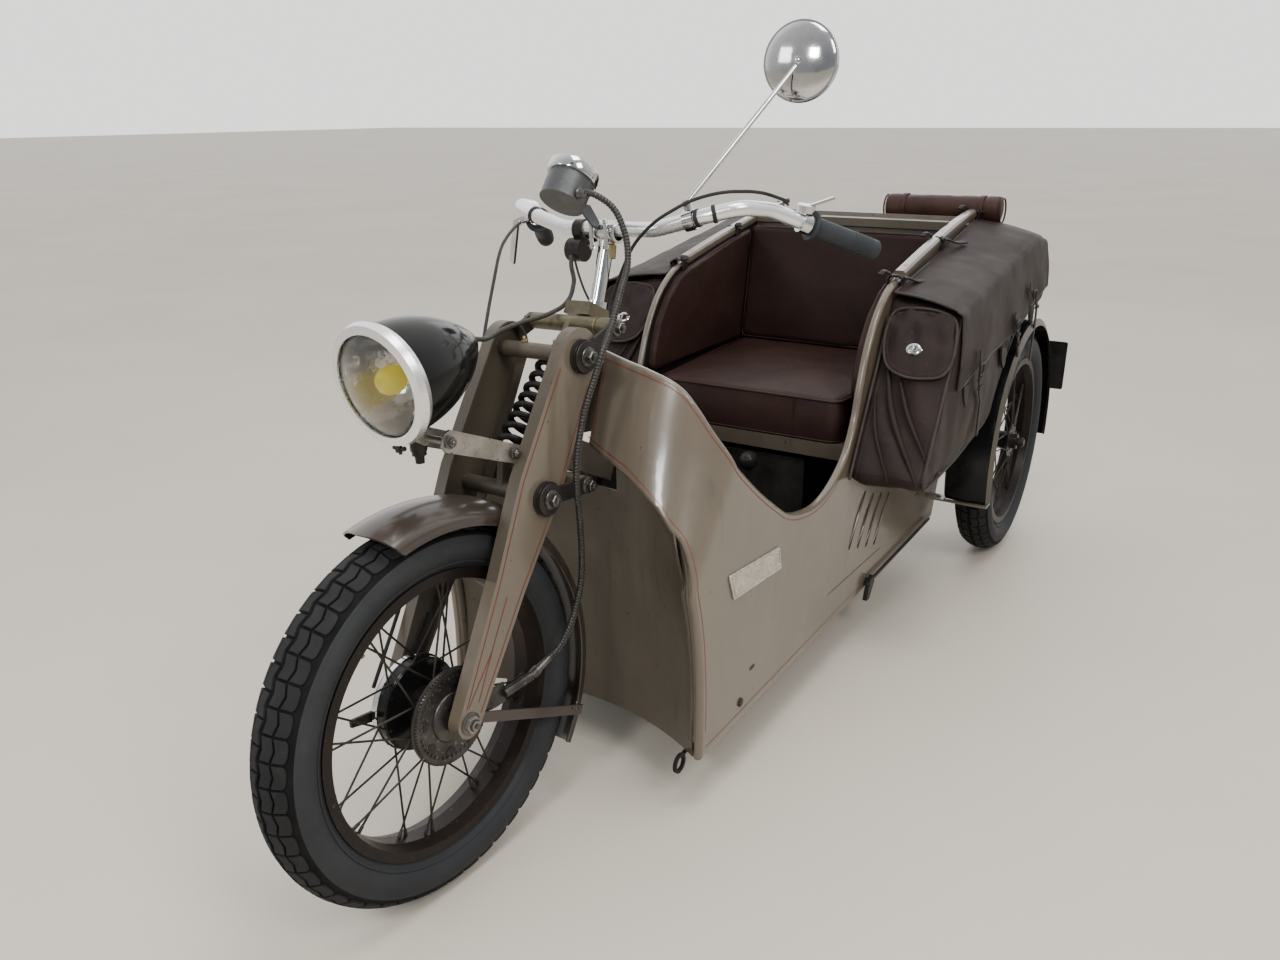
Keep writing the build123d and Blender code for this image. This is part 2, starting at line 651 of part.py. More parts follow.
# Front mudguard: an arched channel with skirts, close round the tyre.
GUARD_W = 58.0           # half width
with BuildPart() as front_guard:
    with BuildSketch(Plane.YZ.offset(FRONT_X)):
        with BuildLine():
            w, t = GUARD_W, 2.5
            Polyline((-w, 293 + TYRE_R), (-w, 306 + TYRE_R))
            ThreePointArc((-w, 306 + TYRE_R), (0, 328 + TYRE_R), (w, 306 + TYRE_R))
            Polyline((w, 306 + TYRE_R), (w, 293 + TYRE_R), (w - t, 293 + TYRE_R),
                     (w - t, 305 + TYRE_R))
            ThreePointArc((w - t, 305 + TYRE_R), (0, 325 + TYRE_R), (t - w, 305 + TYRE_R))
            Polyline((t - w, 305 + TYRE_R), (t - w, 293 + TYRE_R), (-w, 293 + TYRE_R))
        make_face()
    revolve(axis=Axis((FRONT_X, 0, TYRE_R), (0, 1, 0)), revolution_arc=-140)
guard = front_guard.part.rotate(Axis((FRONT_X, 0, TYRE_R), (0, 1, 0)), 14)
write(guard, "front_mudguard", True)

# Mudguard stays from the axle to its lower edge, both sides.
with BuildPart() as stays:
    a, b = Vector(FRONT_X, 0, TYRE_R), Vector(655, 0, 172)
    d = (b - a).normalized()
    for y in (GUARD_W + 3.8, -GUARD_W - 0.2):
        with BuildSketch(side(y)):
            with BuildLine():
                n = Vector(-d.Z, 0, d.X)
                q = [a + d * 4 + n * 9, b + n * 9, b - n * 9, a + d * 4 - n * 9]
                Polyline(*[(v.X, v.Z) for v in q], close=True)
            make_face()
            with Locations((ax, az)):
                Circle(17)
                Circle(8.1, mode=Mode.SUBTRACT)
        extrude(amount=3.6)
write(stays.part, "front_mudguard_stays", True)

# Front axle with its nuts.
with BuildPart() as front_axle:
    with BuildSketch(side(98)):
        with Locations((ax, az)):
            Circle(7.9)
    extrude(amount=196)
    for y in (93, -85):
        with BuildSketch(side(y)):
            with Locations((ax, az)):
                RegularPolygon(14, 6)
        extrude(amount=8.5)
write(front_axle.part, "front_axle", True)

# Brake plate on the right of the front hub with its lever and torque arm.
with BuildPart() as brake_plate:
    with BuildSketch(side(-47.5)):
        with Locations((ax, az)):
            Circle(70)
            Circle(8.1, mode=Mode.SUBTRACT)
    extrude(amount=4)
    with BuildSketch(side(-51)):
        with BuildLine():
            Polyline((ax - 10, az + 8), (ax - 78, az + 112), (ax - 62, az + 120),
                     (ax + 10, az + 12), close=True)
        make_face()
        with Locations((ax, az)):
            Circle(8.1, mode=Mode.SUBTRACT)
    extrude(amount=5)
    with BuildSketch(side(-51)):
        with BuildLine():
            Polyline((ax + 40, az - 12), (ax + 108, az + 4), (ax + 108, az + 16),
                     (ax + 40, az + 8), close=True)
        make_face()
    extrude(amount=5)
write(brake_plate.part, "front_brake_plate", True)

# Speedometer drive: a small toothed wheel and gearbox behind the hub's toothed disc.
with BuildPart() as drive:
    with BuildSketch(side(52)):
        with Locations((ax - 92, az - 8)):
            Circle(11)
    extrude(amount=10)
    with BuildSketch(side(56)):
        with BuildLine():
            Polyline((ax - 104, az - 24), (ax - 78, az - 24), (ax - 27, az - 14),
                     (ax - 27, az - 4), (ax - 78, az + 10), (ax - 104, az + 10), close=True)
        make_face()
    extrude(amount=4)
    # sleeve that takes the end of the cable
    sleeve0, sleeve1 = Vector(836, 59, 293), Vector(779, 66.1, 299.4)
    with BuildSketch(Plane(origin=sleeve0, z_dir=sleeve1 - sleeve0)):
        Circle(7.5)
    extrude(amount=(sleeve1 - sleeve0).length)
write(drive.part, "speedometer_drive", True)

# =============================================================== handlebar and controls
# Half handlebar: points from the clamp outwards, on the rider's left.
BAR_C = (442, 0, 960)
BAR = [(440, 95, 965), (424, 185, 987), (396, 234, 998), (338, 254, 990)]
BAR_END = (181, 364, 914)
GRIP_START = Vector(300, 281, 958)
BAR_R = 12.5


def mirrored(p):
    return (p[0], -p[1], p[2])


with BuildPart() as bar:
    with BuildLine() as bar_line:
        FilletPolyline(mirrored(BAR_END), *[mirrored(p) for p in reversed(BAR)], *BAR, BAR_END,
                       radius=[45, 45, 90, 90, 90, 90, 45, 45])
    with BuildSketch(Plane(origin=bar_line.line @ 0, z_dir=bar_line.line % 0)):
        Circle(BAR_R)
    sweep()
write(bar.part, "handlebar", True)

bar_dir = (Vector(*BAR_END) - Vector(*BAR[-1])).normalized()
with BuildPart() as grips:
    for sign in (1, -1):
        d = Vector(bar_dir.X, sign * bar_dir.Y, bar_dir.Z)
        end = Vector(BAR_END[0], sign * BAR_END[1], BAR_END[2])
        with BuildSketch(Plane(origin=end - d * 128, z_dir=d)):
            Circle(17)
        extrude(amount=132)
        with BuildSketch(Plane(origin=end - d * 128, z_dir=d)):
            Circle(23)
        extrude(amount=5)
        with BuildSketch(Plane(origin=end - d * 128, z_dir=d)):
            Circle(BAR_R + 0.05)
        extrude(amount=128.1, mode=Mode.SUBTRACT)
write(grips.part, "handlebar_grips", True)

# Handlebar stem: chrome tube on the steering axis with a split clamp round the bar.
STEM_TOP = head_point(132, 0)
with BuildPart() as bar_stem:
    foot = head_point(2, 0)
    top = Vector(BAR_C[0] - 2, 0, BAR_C[2] - 6)
    with BuildSketch(Plane(origin=foot, z_dir=top - foot)):
        Circle(13)
    extrude(amount=(top - foot).length)
    with BuildSketch(Plane(origin=foot, z_dir=top - foot)):
        Circle(19)
    extrude(amount=16)
    split(bisect_by=head_plane(6.05), keep=Keep.TOP)
    with BuildSketch(side(24)):
        with Locations((BAR_C[0] - 1, BAR_C[2])):
            Circle(19)
    extrude(amount=48)
    with BuildSketch(side(100)):
        with Locations((BAR_C[0] - 1, BAR_C[2])):
            Circle(BAR_R + 2)
    extrude(amount=200, mode=Mode.SUBTRACT)
write(bar_stem.part, "handlebar_stem", True)

BRAKE_TIP = (222, -425, 868)            # outer end of the brake lever's blade
BRAKE_CABLE_TOP = (314, -313, 957)      # where its cable leaves the adjuster

# Right hand brake lever and left hand control lever, each on a clamp round the bar.
with BuildPart() as levers:
    for sign in (1, -1):
        d = Vector(bar_dir.X, sign * bar_dir.Y, bar_dir.Z)
        end = Vector(BAR_END[0], sign * BAR_END[1], BAR_END[2])
        at = end - d * 149
        with BuildSketch(Plane(origin=at, z_dir=d)):
            Circle(17)
            Circle(BAR_R + 0.05, mode=Mode.SUBTRACT)
        extrude(amount=19)
        up = Vector(0, 0, 1)
        across = d.cross(up).normalized() * (1 if sign > 0 else -1)
        if sign < 0:
            across = up.cross(d).normalized()
            p0, p1 = at + d * 10 + across * 19.3, at + d * 40 + across * 46
            p2 = Vector(*BRAKE_TIP)
            with BuildSketch(Plane(origin=p0, z_dir=p1 - p0)):
                Rectangle(14, 8)
            extrude(amount=(p1 - p0).length + 3)
            with BuildSketch(Plane(origin=p1, z_dir=p2 - p1)):
                Rectangle(14, 6)
            extrude(amount=(p2 - p1).length)
            # cable adjuster screwed into the lever's pivot block
            nose = Vector(*BRAKE_CABLE_TOP)
            with BuildSketch(Plane(origin=nose, z_dir=(p0 + p1) / 2 - nose)):
                Circle(4.5)
            extrude(amount=((p0 + p1) / 2 - nose).length)
        else:
            p0 = at + d * 10 + Vector(0, 0, 18)
            with BuildSketch(Plane(origin=p0, z_dir=(0, 0.2, 1))):
                Circle(15)
            extrude(amount=12)
            with BuildSketch(Plane(origin=p0 - Vector(0, 0, 1.4), z_dir=(0, 0, 1))):
                Circle(6)
            extrude(amount=6)
            p1 = p0 + Vector(0, 2, 8)
            with BuildSketch(Plane(origin=p1, z_dir=(-0.9, 0.6, 0.25))):
                Rectangle(8, 4)
            extrude(amount=52)
write(levers.part, "handlebar_levers", True)

# Dimmer and horn switch clamped on the bar's right half.
with BuildPart() as switch:
    with BuildSketch(side(-46)):
        with Locations((BAR_C[0] - 1.5, BAR_C[2] + 2.5)):
            Circle(18)
            Circle(BAR_R + 1.2, mode=Mode.SUBTRACT)
    extrude(amount=18)
    with BuildSketch(side(-40)):
        with Locations((BAR_C[0] + 12, BAR_C[2] - 30)):
            Circle(20)
    extrude(amount=30)
write(switch.part, "dip_switch", True)

# Speedometer: a short drum on a bracket ahead of the bar, its dial facing the rider.
DIAL = Vector(505, -20, 1048)
DIAL_UP = Vector(-0.62, 0.0, 0.78).normalized()
with BuildPart() as speedometer:
    with BuildSketch(Plane(origin=DIAL - DIAL_UP * 44, z_dir=DIAL_UP)):
        Circle(38)
    extrude(amount=44)
    with BuildSketch(Plane(origin=DIAL, z_dir=DIAL_UP)):
        Circle(41)
    extrude(amount=18)
    # bracket plates down to the bar
    with BuildSketch(side(-4)):
        with BuildLine():
            Polyline((478, 1006), (520, 1016), (476, 974), (462, 966), (455, 976), close=True)
        make_face()
    extrude(amount=4)
write(speedometer.part, "speedometer", True)

# Mirror: round head on a long stem from a clamp on the bar's left half.
MIRROR = Vector(235, 250, 1216)
MIRROR_FACE = Vector(-0.93, -0.12, -0.08)
leg = (Vector(*BAR[1]) - Vector(*BAR[0])).normalized()
CLAMP = Vector(*BAR[0]) + leg * 58               # inner end of the mirror's clamp
with BuildPart() as mirror_piece:
    middle = CLAMP + leg * 9
    lift = Vector(0, 0, 1) - leg * leg.Z
    root = middle + lift.normalized() * (BAR_R + 3)
    with BuildSketch(Plane(origin=CLAMP, z_dir=leg)):
        Circle(BAR_R + 4.5)
        Circle(BAR_R + 0.1, mode=Mode.SUBTRACT)
    extrude(amount=18)
    with BuildSketch(Plane(origin=root, z_dir=lift)):
        Circle(7)
    extrude(amount=16)
    neck = MIRROR + Vector(10, -2, -8)
    stem_foot = root + lift.normalized() * 12
    with BuildSketch(Plane(origin=stem_foot, z_dir=neck - stem_foot)):
        Circle(4)
    extrude(amount=(neck - stem_foot).length)
    with BuildSketch(Plane(origin=MIRROR, z_dir=MIRROR_FACE)):
        Circle(63)
    extrude(amount=10)
    with Locations(MIRROR):
        Sphere(14)
write(mirror_piece.part, "mirror", True)

# =============================================================== headlamp
# The lamp's pieces are turned about the X axis and then placed, dipping a little.
LAMP = Vector(952, 0, 808)                       # middle of the rim
LAMP_DIP = 9.0
LAMP_AT = Location(LAMP, (0, LAMP_DIP, 0))
LAMP_R = 86.0
with BuildPart() as lamp_shell:
    with BuildSketch(side(0)):
        with BuildLine():
            ThreePointArc((0, 80), (-95, 66), (-174, 14))
            Polyline((-174, 14), (-180, 0), (-176, 0), (-171, 12))
            ThreePointArc((-171, 12), (-93, 63), (0, 77))
            Line((0, 77), (0, 80))
        make_face()
    revolve(axis=Axis.X)
write(lamp_shell.part.moved(LAMP_AT), "headlamp_shell", True)

with BuildPart() as lamp_rim:
    with BuildSketch(side(0)):
        with BuildLine():
            Polyline((-8, 80.6), (-8, 84), (2, LAMP_R + 3), (12, LAMP_R), (14, 74), (11, 74),
                     (9, 79), (1, 80.6), close=True)
        make_face()
    revolve(axis=Axis.X)
write(lamp_rim.part.moved(LAMP_AT), "headlamp_rim", True)

LENS_R, LENS_FRONT = 167.4, 27.0                 # sphere of the glass, its front point
with BuildPart() as lamp_lens:
    with Locations((LENS_FRONT - LENS_R, 0, 0)):
        Sphere(LENS_R)
        Sphere(LENS_R - 3, mode=Mode.SUBTRACT)
    with BuildSketch(cross(0)):
        Circle(73.5)
    extrude(amount=40, mode=Mode.INTERSECT)
write(lamp_lens.part.moved(LAMP_AT), "headlamp_lens", True)

with BuildPart() as reflector:
    with BuildSketch(side(0)):
        with BuildLine():
            ThreePointArc((0, 76), (-55, 52), (-85, 12))
            Line((-85, 12), (-88, 12))
            ThreePointArc((-88, 12), (-58, 54), (-4, 76))
            Line((-4, 76), (0, 76))
        make_face()
    revolve(axis=Axis.X)
    # bulb in its holder: X from, length, radius
    for x, length, r in ((-100, 30, 13), (-70, 20, 9)):
        with BuildSketch(cross(x)):
            Circle(r)
        extrude(amount=length)
    with Locations((-44, 0, 0)):
        Sphere(17)
write(reflector.part.moved(LAMP_AT), "headlamp_bulb_and_reflector", True)

# Lamp bracket: two flat arms from the blades' front flanges to a cross bolt.
LAMP_BOLT = (902, 722)
with BuildPart() as lamp_bracket:
    for y in (FLANGE_IN, 5 - FLANGE_IN):
        with BuildSketch(side(y)):
            with BuildLine():
                Polyline((913, 716), (908, 734), (896, 738), (760, 680), (752, 664),
                         (768, 652), (908, 708), close=True)
            make_face()
        extrude(amount=5)
    with BuildSketch(side(FLANGE_IN + 4)):
        with Locations(LAMP_BOLT):
            Circle(5)
    extrude(amount=2 * (FLANGE_IN + 4))
    with BuildSketch(side(18)):
        with Locations(LAMP_BOLT):
            Circle(11.5)
    extrude(amount=36)
write(lamp_bracket.part, "headlamp_bracket", True)

# =============================================================== cables
# Each cable: node, radius, points along its real route on the fork.
CABLES = [
    ("speedometer_cable", 5.0, [(534, 19, 1029), (538, 50, 1028), (522, 76, 1006),
                                (516, 93, 965), (527, 104, 924), (560, 114, 887),
                                (604, 122, 830), (632, 127, 803), (649, 122, 763),
                                (667, 117, 724), (677, 113, 688), (687, 111, 648),
                                (690, 109, 601), (681, 104, 540), (676, 99, 470),
                                (678, 96, 431), (688, 91, 392), (704, 87, 357),
                                (727, 80, 328), (752, 74, 315), (777, 66.5, 300)]),
    ("front_brake_cable", 3.0, [BRAKE_CABLE_TOP, (346, -294, 955), (396, -268, 945),
                                (442, -244, 930), (480, -220, 911), (522, -192, 884),
                                (566, -166, 848), (604, -144, 812),
                                (640, -125, 765), (690, -112, 690),
                                (750, -106, 620), (812, -102, 540), (872, -96, 460),
                                (930, -84, 390), (985, -66, 338)]),
    # from the left lever over the bar and down behind the handlebar stem
    ("control_cable", 2.8, [(318, 276, 1002), (365, 250, 1021), (418, 212, 1024),
                            (440, 166, 1012), (464, 114, 982), (466, 72, 945),
                            (448, 36, 905), (437, 10, 868), (440, 0, 838), (458, 0, 816)]),
    # thin wire from the switch down to the foot of the handlebar stem
    ("switch_wire", 2.0, [(470.5, -50, 916), (475, -41, 895), (479, -27, 868), (479, -17, 850.5)]),
    # loom from the switch on the bar, hanging forwards to the back of the lamp
    ("lamp_wiring", 3.8, [(474, -54, 922), (484, -48, 906), (484, -42, 884), (503, -36, 858),
                          (530, -33, 845), (582, -30, 838), (640, -28, 838), (694, -24, 834),
                          (736, -12, 829), (770, -1, 836.5)]),
]
for node, r, points in CABLES:
    radii = []
    for k in range(1, len(points) - 1):
        before = Vector(*points[k]) - Vector(*points[k - 1])
        after = Vector(*points[k + 1]) - Vector(*points[k])
        turn = math.radians(before.get_angle(after))
        radii.append(0.45 * min(before.length, after.length) / math.tan(turn / 2))
    with BuildPart() as cable:
        with BuildLine() as route:
            FilletPolyline(*points, radius=radii)
        with BuildSketch(Plane(origin=route.line @ 0, z_dir=route.line % 0)):
            Circle(r)
        sweep()
    run = sum(e.length for e in route.edges())
    print(node, "length", round(run), "radii", [round(v) for v in radii],
          "volume error", round(cable.part.volume / (math.pi * r * r * run) - 1, 4))
    write(cable.part, node, True)

# =============================================================== small pieces of the body
with BuildPart() as plate:
    with BuildSketch(cross(-1214)):
        with Locations((437, 440)):
            RectangleRounded(86, 140, 6)
    extrude(amount=-4)
    with BuildSketch(cross(-1214)):
        with Locations((402, 375)):
            Rectangle(24, 12)
    extrude(amount=20.9)
write(plate.part, "number_plate")

with BuildPart() as lamp:
    with BuildSketch(Plane(origin=(-795, 0, 400), z_dir=(-0.993, 0, -0.119))):
        Circle(34)
    extrude(amount=44)
write(lamp.part, "tail_lamp")

with BuildPart() as rod:
    with BuildSketch(cross(-640)):
        with Locations((BODY_HALF_W + 9, 122)):
            Circle(4)
    extrude(amount=470)
    with BuildSketch(side(BODY_HALF_W + 14)):
        with BuildLine():
            Polyline((-200, 136), (-176, 112), (-166, 84), (-184, 82), (-212, 116), close=True)
        make_face()
    extrude(amount=10)
    with BuildSketch(side(BODY_HALF_W + 14)):
        with Locations((-190, 122)):
            Circle(9)
    extrude(amount=14)
write(rod.part, "sill_brake_rod")
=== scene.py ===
import math
import random

import bmesh
import bpy
import numpy as np
from mathutils import Matrix, Vector, noise


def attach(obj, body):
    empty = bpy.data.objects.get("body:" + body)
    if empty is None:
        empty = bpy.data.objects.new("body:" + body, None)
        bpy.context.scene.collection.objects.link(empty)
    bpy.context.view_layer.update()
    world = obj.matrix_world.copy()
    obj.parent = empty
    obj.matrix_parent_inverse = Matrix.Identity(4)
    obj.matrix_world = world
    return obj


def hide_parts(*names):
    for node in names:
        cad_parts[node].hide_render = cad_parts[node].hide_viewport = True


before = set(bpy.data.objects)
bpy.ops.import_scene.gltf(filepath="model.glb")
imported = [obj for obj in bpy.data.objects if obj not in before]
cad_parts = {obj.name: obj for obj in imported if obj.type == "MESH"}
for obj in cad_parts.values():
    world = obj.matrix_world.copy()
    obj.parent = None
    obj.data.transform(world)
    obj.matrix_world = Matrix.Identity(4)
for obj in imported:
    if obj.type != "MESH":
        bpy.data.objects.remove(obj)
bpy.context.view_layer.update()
MM = 0.001
random.seed(11)

# ------------------------------------------------------------------ camera
def make_camera():
    psi, pitch, roll = math.radians(212.14), math.radians(19.866), math.radians(-0.574)
    d = Vector((math.cos(psi) * math.cos(pitch), math.sin(psi) * math.cos(pitch), -math.sin(pitch)))
    r = Vector((math.sin(psi), -math.cos(psi), 0.0))
    u = r.cross(d)
    x = r * math.cos(roll) + u * math.sin(roll)
    y = u * math.cos(roll) - r * math.sin(roll)
    m = Matrix.Identity(4)
    for i in range(3):
        m[i][0], m[i][1], m[i][2] = x[i], y[i], -d[i]
    m[0][3], m[1][3], m[2][3] = 1.908, 0.980, 1.153
    data = bpy.data.cameras.new("camera")
    data.lens, data.sensor_width = 28.845, 36.0
    cam = bpy.data.objects.new("camera", data)
    cam.matrix_world = m
    bpy.context.scene.collection.objects.link(cam)
    bpy.context.scene.camera = cam


make_camera()

# ------------------------------------------------------------------ materials
MATS = {}


def material(name, color, rough=0.5, metal=0.0, vary=None, vary_scale=6.0, specks=None,
             speck_scale=60.0, speck_cut=0.68, bump=0.0, bump_scale=200.0, bump2=0.0,
             bump2_scale=20.0, grain=0.0, grain_scale=700.0, rough_vary=0.12, coat=0.0,
             coat_rough=0.1, transmission=0.0, ior=1.45, dust=None, dust_cut=0.5, dust_scale=9.0,
             dust_up=False, emission=None, alpha=1.0, sheen=0.0, streak=None):
    """Principled material: base colour varied by noise, specks, dust, grain and bump."""
    m = bpy.data.materials.new(name)
    m.use_nodes = True
    nt = m.node_tree
    b = nt.nodes["Principled BSDF"]
    n, link = nt.nodes.new, nt.links.new
    b.inputs["Metallic"].default_value = metal
    b.inputs["IOR"].default_value = ior
    b.inputs["Coat Weight"].default_value = coat
    b.inputs["Coat Roughness"].default_value = coat_rough
    b.inputs["Transmission Weight"].default_value = transmission
    b.inputs["Alpha"].default_value = alpha
    b.inputs["Sheen Weight"].default_value = sheen
    tc = n("ShaderNodeTexCoord")

    def noise(scale, detail=3.0, rough_=0.55, stretch=None):
        t = n("ShaderNodeTexNoise")
        t.inputs["Scale"].default_value = scale
        t.inputs["Detail"].default_value = detail
        t.inputs["Roughness"].default_value = rough_
        if stretch:
            mp = n("ShaderNodeMapping")
            mp.inputs["Scale"].default_value = stretch
            link(tc.outputs["Object"], mp.inputs["Vector"])
            link(mp.outputs["Vector"], t.inputs["Vector"])
        else:
            link(tc.outputs["Object"], t.inputs["Vector"])
        return t.outputs["Fac"]

    def ramp(fac, lo, hi):
        t = n("ShaderNodeMapRange")
        t.inputs["From Min"].default_value = lo
        t.inputs["From Max"].default_value = hi
        link(fac, t.inputs["Value"])
        return t.outputs["Result"]

    def mix(fac, a, c):
        t = n("ShaderNodeMix")
        t.data_type = "RGBA"
        if isinstance(fac, float):
            t.inputs["Factor"].default_value = fac
        else:
            link(fac, t.inputs["Factor"])
        for sock, v in ((t.inputs["A"], a), (t.inputs["B"], c)):
            if isinstance(v, tuple):
                sock.default_value = (*v, 1.0)
            else:
                link(v, sock)
        return t.outputs["Result"]

    col = color
    if vary is None:
        vary = tuple(c * 0.78 for c in color)
    col = mix(ramp(noise(vary_scale, 4.0, 0.6), 0.35, 0.68), col, vary)
    if streak:
        col = mix(ramp(noise(30.0, 3.0, 0.6, (1.0, 1.0, 0.12)), 0.56, 0.78), col, streak)
    if dust:
        fac = ramp(noise(dust_scale, 5.0, 0.65), dust_cut, dust_cut + 0.3)
        if dust_up:
            g = n("ShaderNodeNewGeometry")
            sep = n("ShaderNodeSeparateXYZ")
            link(g.outputs["Normal"], sep.inputs["Vector"])
            mul = n("ShaderNodeMath")
            mul.operation = "MULTIPLY"
            link(fac, mul.inputs[0])
            link(ramp(sep.outputs["Z"], 0.1, 0.9), mul.inputs[1])
            fac = mul.outputs["Value"]
        col = mix(fac, col, dust)
    if specks:
        col = mix(ramp(noise(speck_scale, 2.0, 0.5), speck_cut, speck_cut + 0.03), col, specks)
    link(col, b.inputs["Base Color"])
    r = n("ShaderNodeMapRange")
    r.inputs["To Min"].default_value = max(0.02, rough - rough_vary)
    r.inputs["To Max"].default_value = min(1.0, rough + rough_vary)
    link(noise(vary_scale * 3.1, 5.0, 0.65), r.inputs["Value"])
    link(r.outputs["Result"], b.inputs["Roughness"])
    prev = None
    for amount, make in ((bump2, lambda: noise(bump2_scale, 3.0, 0.5)),
                         (bump, lambda: noise(bump_scale, 3.0, 0.6))):
        if amount:
            t = n("ShaderNodeBump")
            t.inputs["Strength"].default_value = 1.0
            t.inputs["Distance"].default_value = amount
            link(make(), t.inputs["Height"])
            if prev:
                link(prev, t.inputs["Normal"])
            prev = t.outputs["Normal"]
    if grain:
        v = n("ShaderNodeTexVoronoi")
        v.feature = "DISTANCE_TO_EDGE"
        v.inputs["Scale"].default_value = grain_scale
        link(tc.outputs["Object"], v.inputs["Vector"])
        t = n("ShaderNodeBump")
        t.inputs["Strength"].default_value = 0.7
        t.inputs["Distance"].default_value = grain
        link(ramp(v.outputs["Distance"], 0.0, 0.25), t.inputs["Height"])
        if prev:
            link(prev, t.inputs["Normal"])
        prev = t.outputs["Normal"]
    if prev:
        link(prev, b.inputs["Normal"])
    if emission:
        b.inputs["Emission Color"].default_value = (*emission[:3], 1.0)
        b.inputs["Emission Strength"].default_value = emission[3]
    MATS[name] = m
    return m


PAINT = (0.132, 0.110, 0.081)
material("paint", PAINT, 0.30, 0.0, vary=(0.112, 0.093, 0.068), vary_scale=4.0,
         specks=(0.05, 0.04, 0.035), speck_scale=95.0, speck_cut=0.735, bump=0.00006,
         bump_scale=260.0, bump2=0.0012, bump2_scale=9.0, coat=0.6, coat_rough=0.12,
         streak=(0.096, 0.079, 0.058), rough_vary=0.07)
# the body paint darkened as painted shade, for surfaces that face away from the light
material("paint_dark", (0.080, 0.067, 0.049), 0.42, 0.0, vary=(0.060, 0.050, 0.037), vary_scale=5.0,
         specks=(0.04, 0.032, 0.028), speck_scale=80.0, speck_cut=0.70, bump=0.00008,
         bump_scale=240.0, bump2=0.001, bump2_scale=12.0, streak=(0.045, 0.038, 0.029))
material("interior", (0.009, 0.0085, 0.008), 0.62, 0.0, vary=(0.018, 0.016, 0.0145), vary_scale=8.0,
         bump=0.0002, bump_scale=180.0, dust=(0.035, 0.031, 0.026), dust_cut=0.6, dust_up=True,
         ior=1.27)
material("stripe", (0.19, 0.020, 0.020), 0.42, 0.0, vary=(0.13, 0.022, 0.021), vary_scale=60.0)
material("guard_paint", (0.040, 0.030, 0.0245), 0.28, 0.0, vary=(0.030, 0.022, 0.0185), vary_scale=7.0,
         specks=(0.02, 0.015, 0.012), speck_scale=120.0, speck_cut=0.72, bump=0.0,
         bump_scale=220.0, coat=0.5, coat_rough=0.14,
         rough_vary=0.0,
         ior=1.35)
material("rim_paint", (0.0145, 0.0098, 0.0082), 0.36, 0.0, vary=(0.010, 0.0075, 0.0066), vary_scale=16.0,
         specks=(0.07, 0.04, 0.024), speck_scale=140.0, speck_cut=0.69, bump=0.00015,
         bump_scale=170.0, coat=0.0, coat_rough=0.15,
         ior=1.27)
material("black_gloss", (0.0055, 0.0056, 0.006), 0.14, 0.0, vary=(0.009, 0.0088, 0.009), vary_scale=9.0,
         bump=0.00002, bump_scale=220.0, coat=0.10, coat_rough=0.06, rough_vary=0.05,
         ior=1.27)
material("black_paint", (0.0115, 0.011, 0.011), 0.4, 0.0, vary=(0.025, 0.022, 0.019), vary_scale=30.0,
         specks=(0.08, 0.065, 0.05), speck_scale=240.0, speck_cut=0.71, bump=0.0001, bump_scale=260.0,
         ior=1.27)
material("frame_paint", (0.017, 0.015, 0.0135), 0.5, 0.0, vary=(0.032, 0.026, 0.021), vary_scale=15.0,
         bump=0.0002, bump_scale=180.0,
         ior=1.27)
material("tyre", (0.0235, 0.0250, 0.0280), 0.68, 0.0, vary=(0.032, 0.034, 0.037), vary_scale=6.0,
         dust=(0.055, 0.054, 0.052), dust_cut=0.62, dust_scale=14.0, bump=0.00022, bump_scale=420.0,
         bump2=0.0008, bump2_scale=22.0, specks=(0.06, 0.058, 0.055), speck_scale=70.0,
         speck_cut=0.78,
         ior=1.27)
material("tread", (0.0125, 0.0132, 0.0145), 0.76, 0.0, vary=(0.020, 0.0205, 0.0215), vary_scale=14.0,
         dust=(0.036, 0.035, 0.032), dust_cut=0.56, dust_scale=24.0, bump=0.0003, bump_scale=420.0,
         ior=1.27)
material("steel", (0.36, 0.345, 0.32), 0.42, 0.85, vary=(0.22, 0.20, 0.175), vary_scale=26.0,
         specks=(0.09, 0.06, 0.04), speck_scale=190.0, speck_cut=0.68, bump=0.00012, bump_scale=320.0)
material("dark_steel", (0.048, 0.044, 0.041), 0.44, 0.7, vary=(0.028, 0.024, 0.022), vary_scale=22.0,
         specks=(0.09, 0.055, 0.035), speck_scale=150.0, speck_cut=0.72, bump=0.00018, bump_scale=260.0)
material("galvanised", (0.30, 0.295, 0.285), 0.5, 0.75, vary=(0.16, 0.15, 0.14), vary_scale=36.0,
         specks=(0.06, 0.045, 0.035), speck_scale=170.0, speck_cut=0.63, bump=0.0002, bump_scale=300.0)
material("chrome", (0.66, 0.66, 0.67), 0.10, 1.0, vary=(0.52, 0.515, 0.50), vary_scale=20.0,
         specks=(0.20, 0.16, 0.12), speck_scale=240.0, speck_cut=0.72, bump=0.00003,
         bump_scale=260.0, rough_vary=0.06)
material("silver", (0.88, 0.885, 0.90), 0.27, 0.8, vary=(0.80, 0.80, 0.81), vary_scale=14.0,
         bump=0.00001, bump_scale=120.0, rough_vary=0.05)
material("brass", (0.30, 0.25, 0.13), 0.42, 0.8, vary=(0.17, 0.14, 0.08), vary_scale=28.0,
         specks=(0.07, 0.06, 0.04), speck_scale=150.0, speck_cut=0.66, bump=0.00015, bump_scale=280.0)
material("olive", (0.115, 0.098, 0.055), 0.36, 0.25, vary=(0.060, 0.052, 0.032), vary_scale=26.0,
         specks=(0.17, 0.15, 0.10), speck_scale=170.0, speck_cut=0.70, bump=0.0001, bump_scale=260.0)
material("cream_cast", (0.34, 0.295, 0.20), 0.5, 0.1, vary=(0.22, 0.18, 0.12), vary_scale=40.0,
         specks=(0.07, 0.055, 0.04), speck_scale=120.0, speck_cut=0.62, bump=0.0003, bump_scale=200.0)
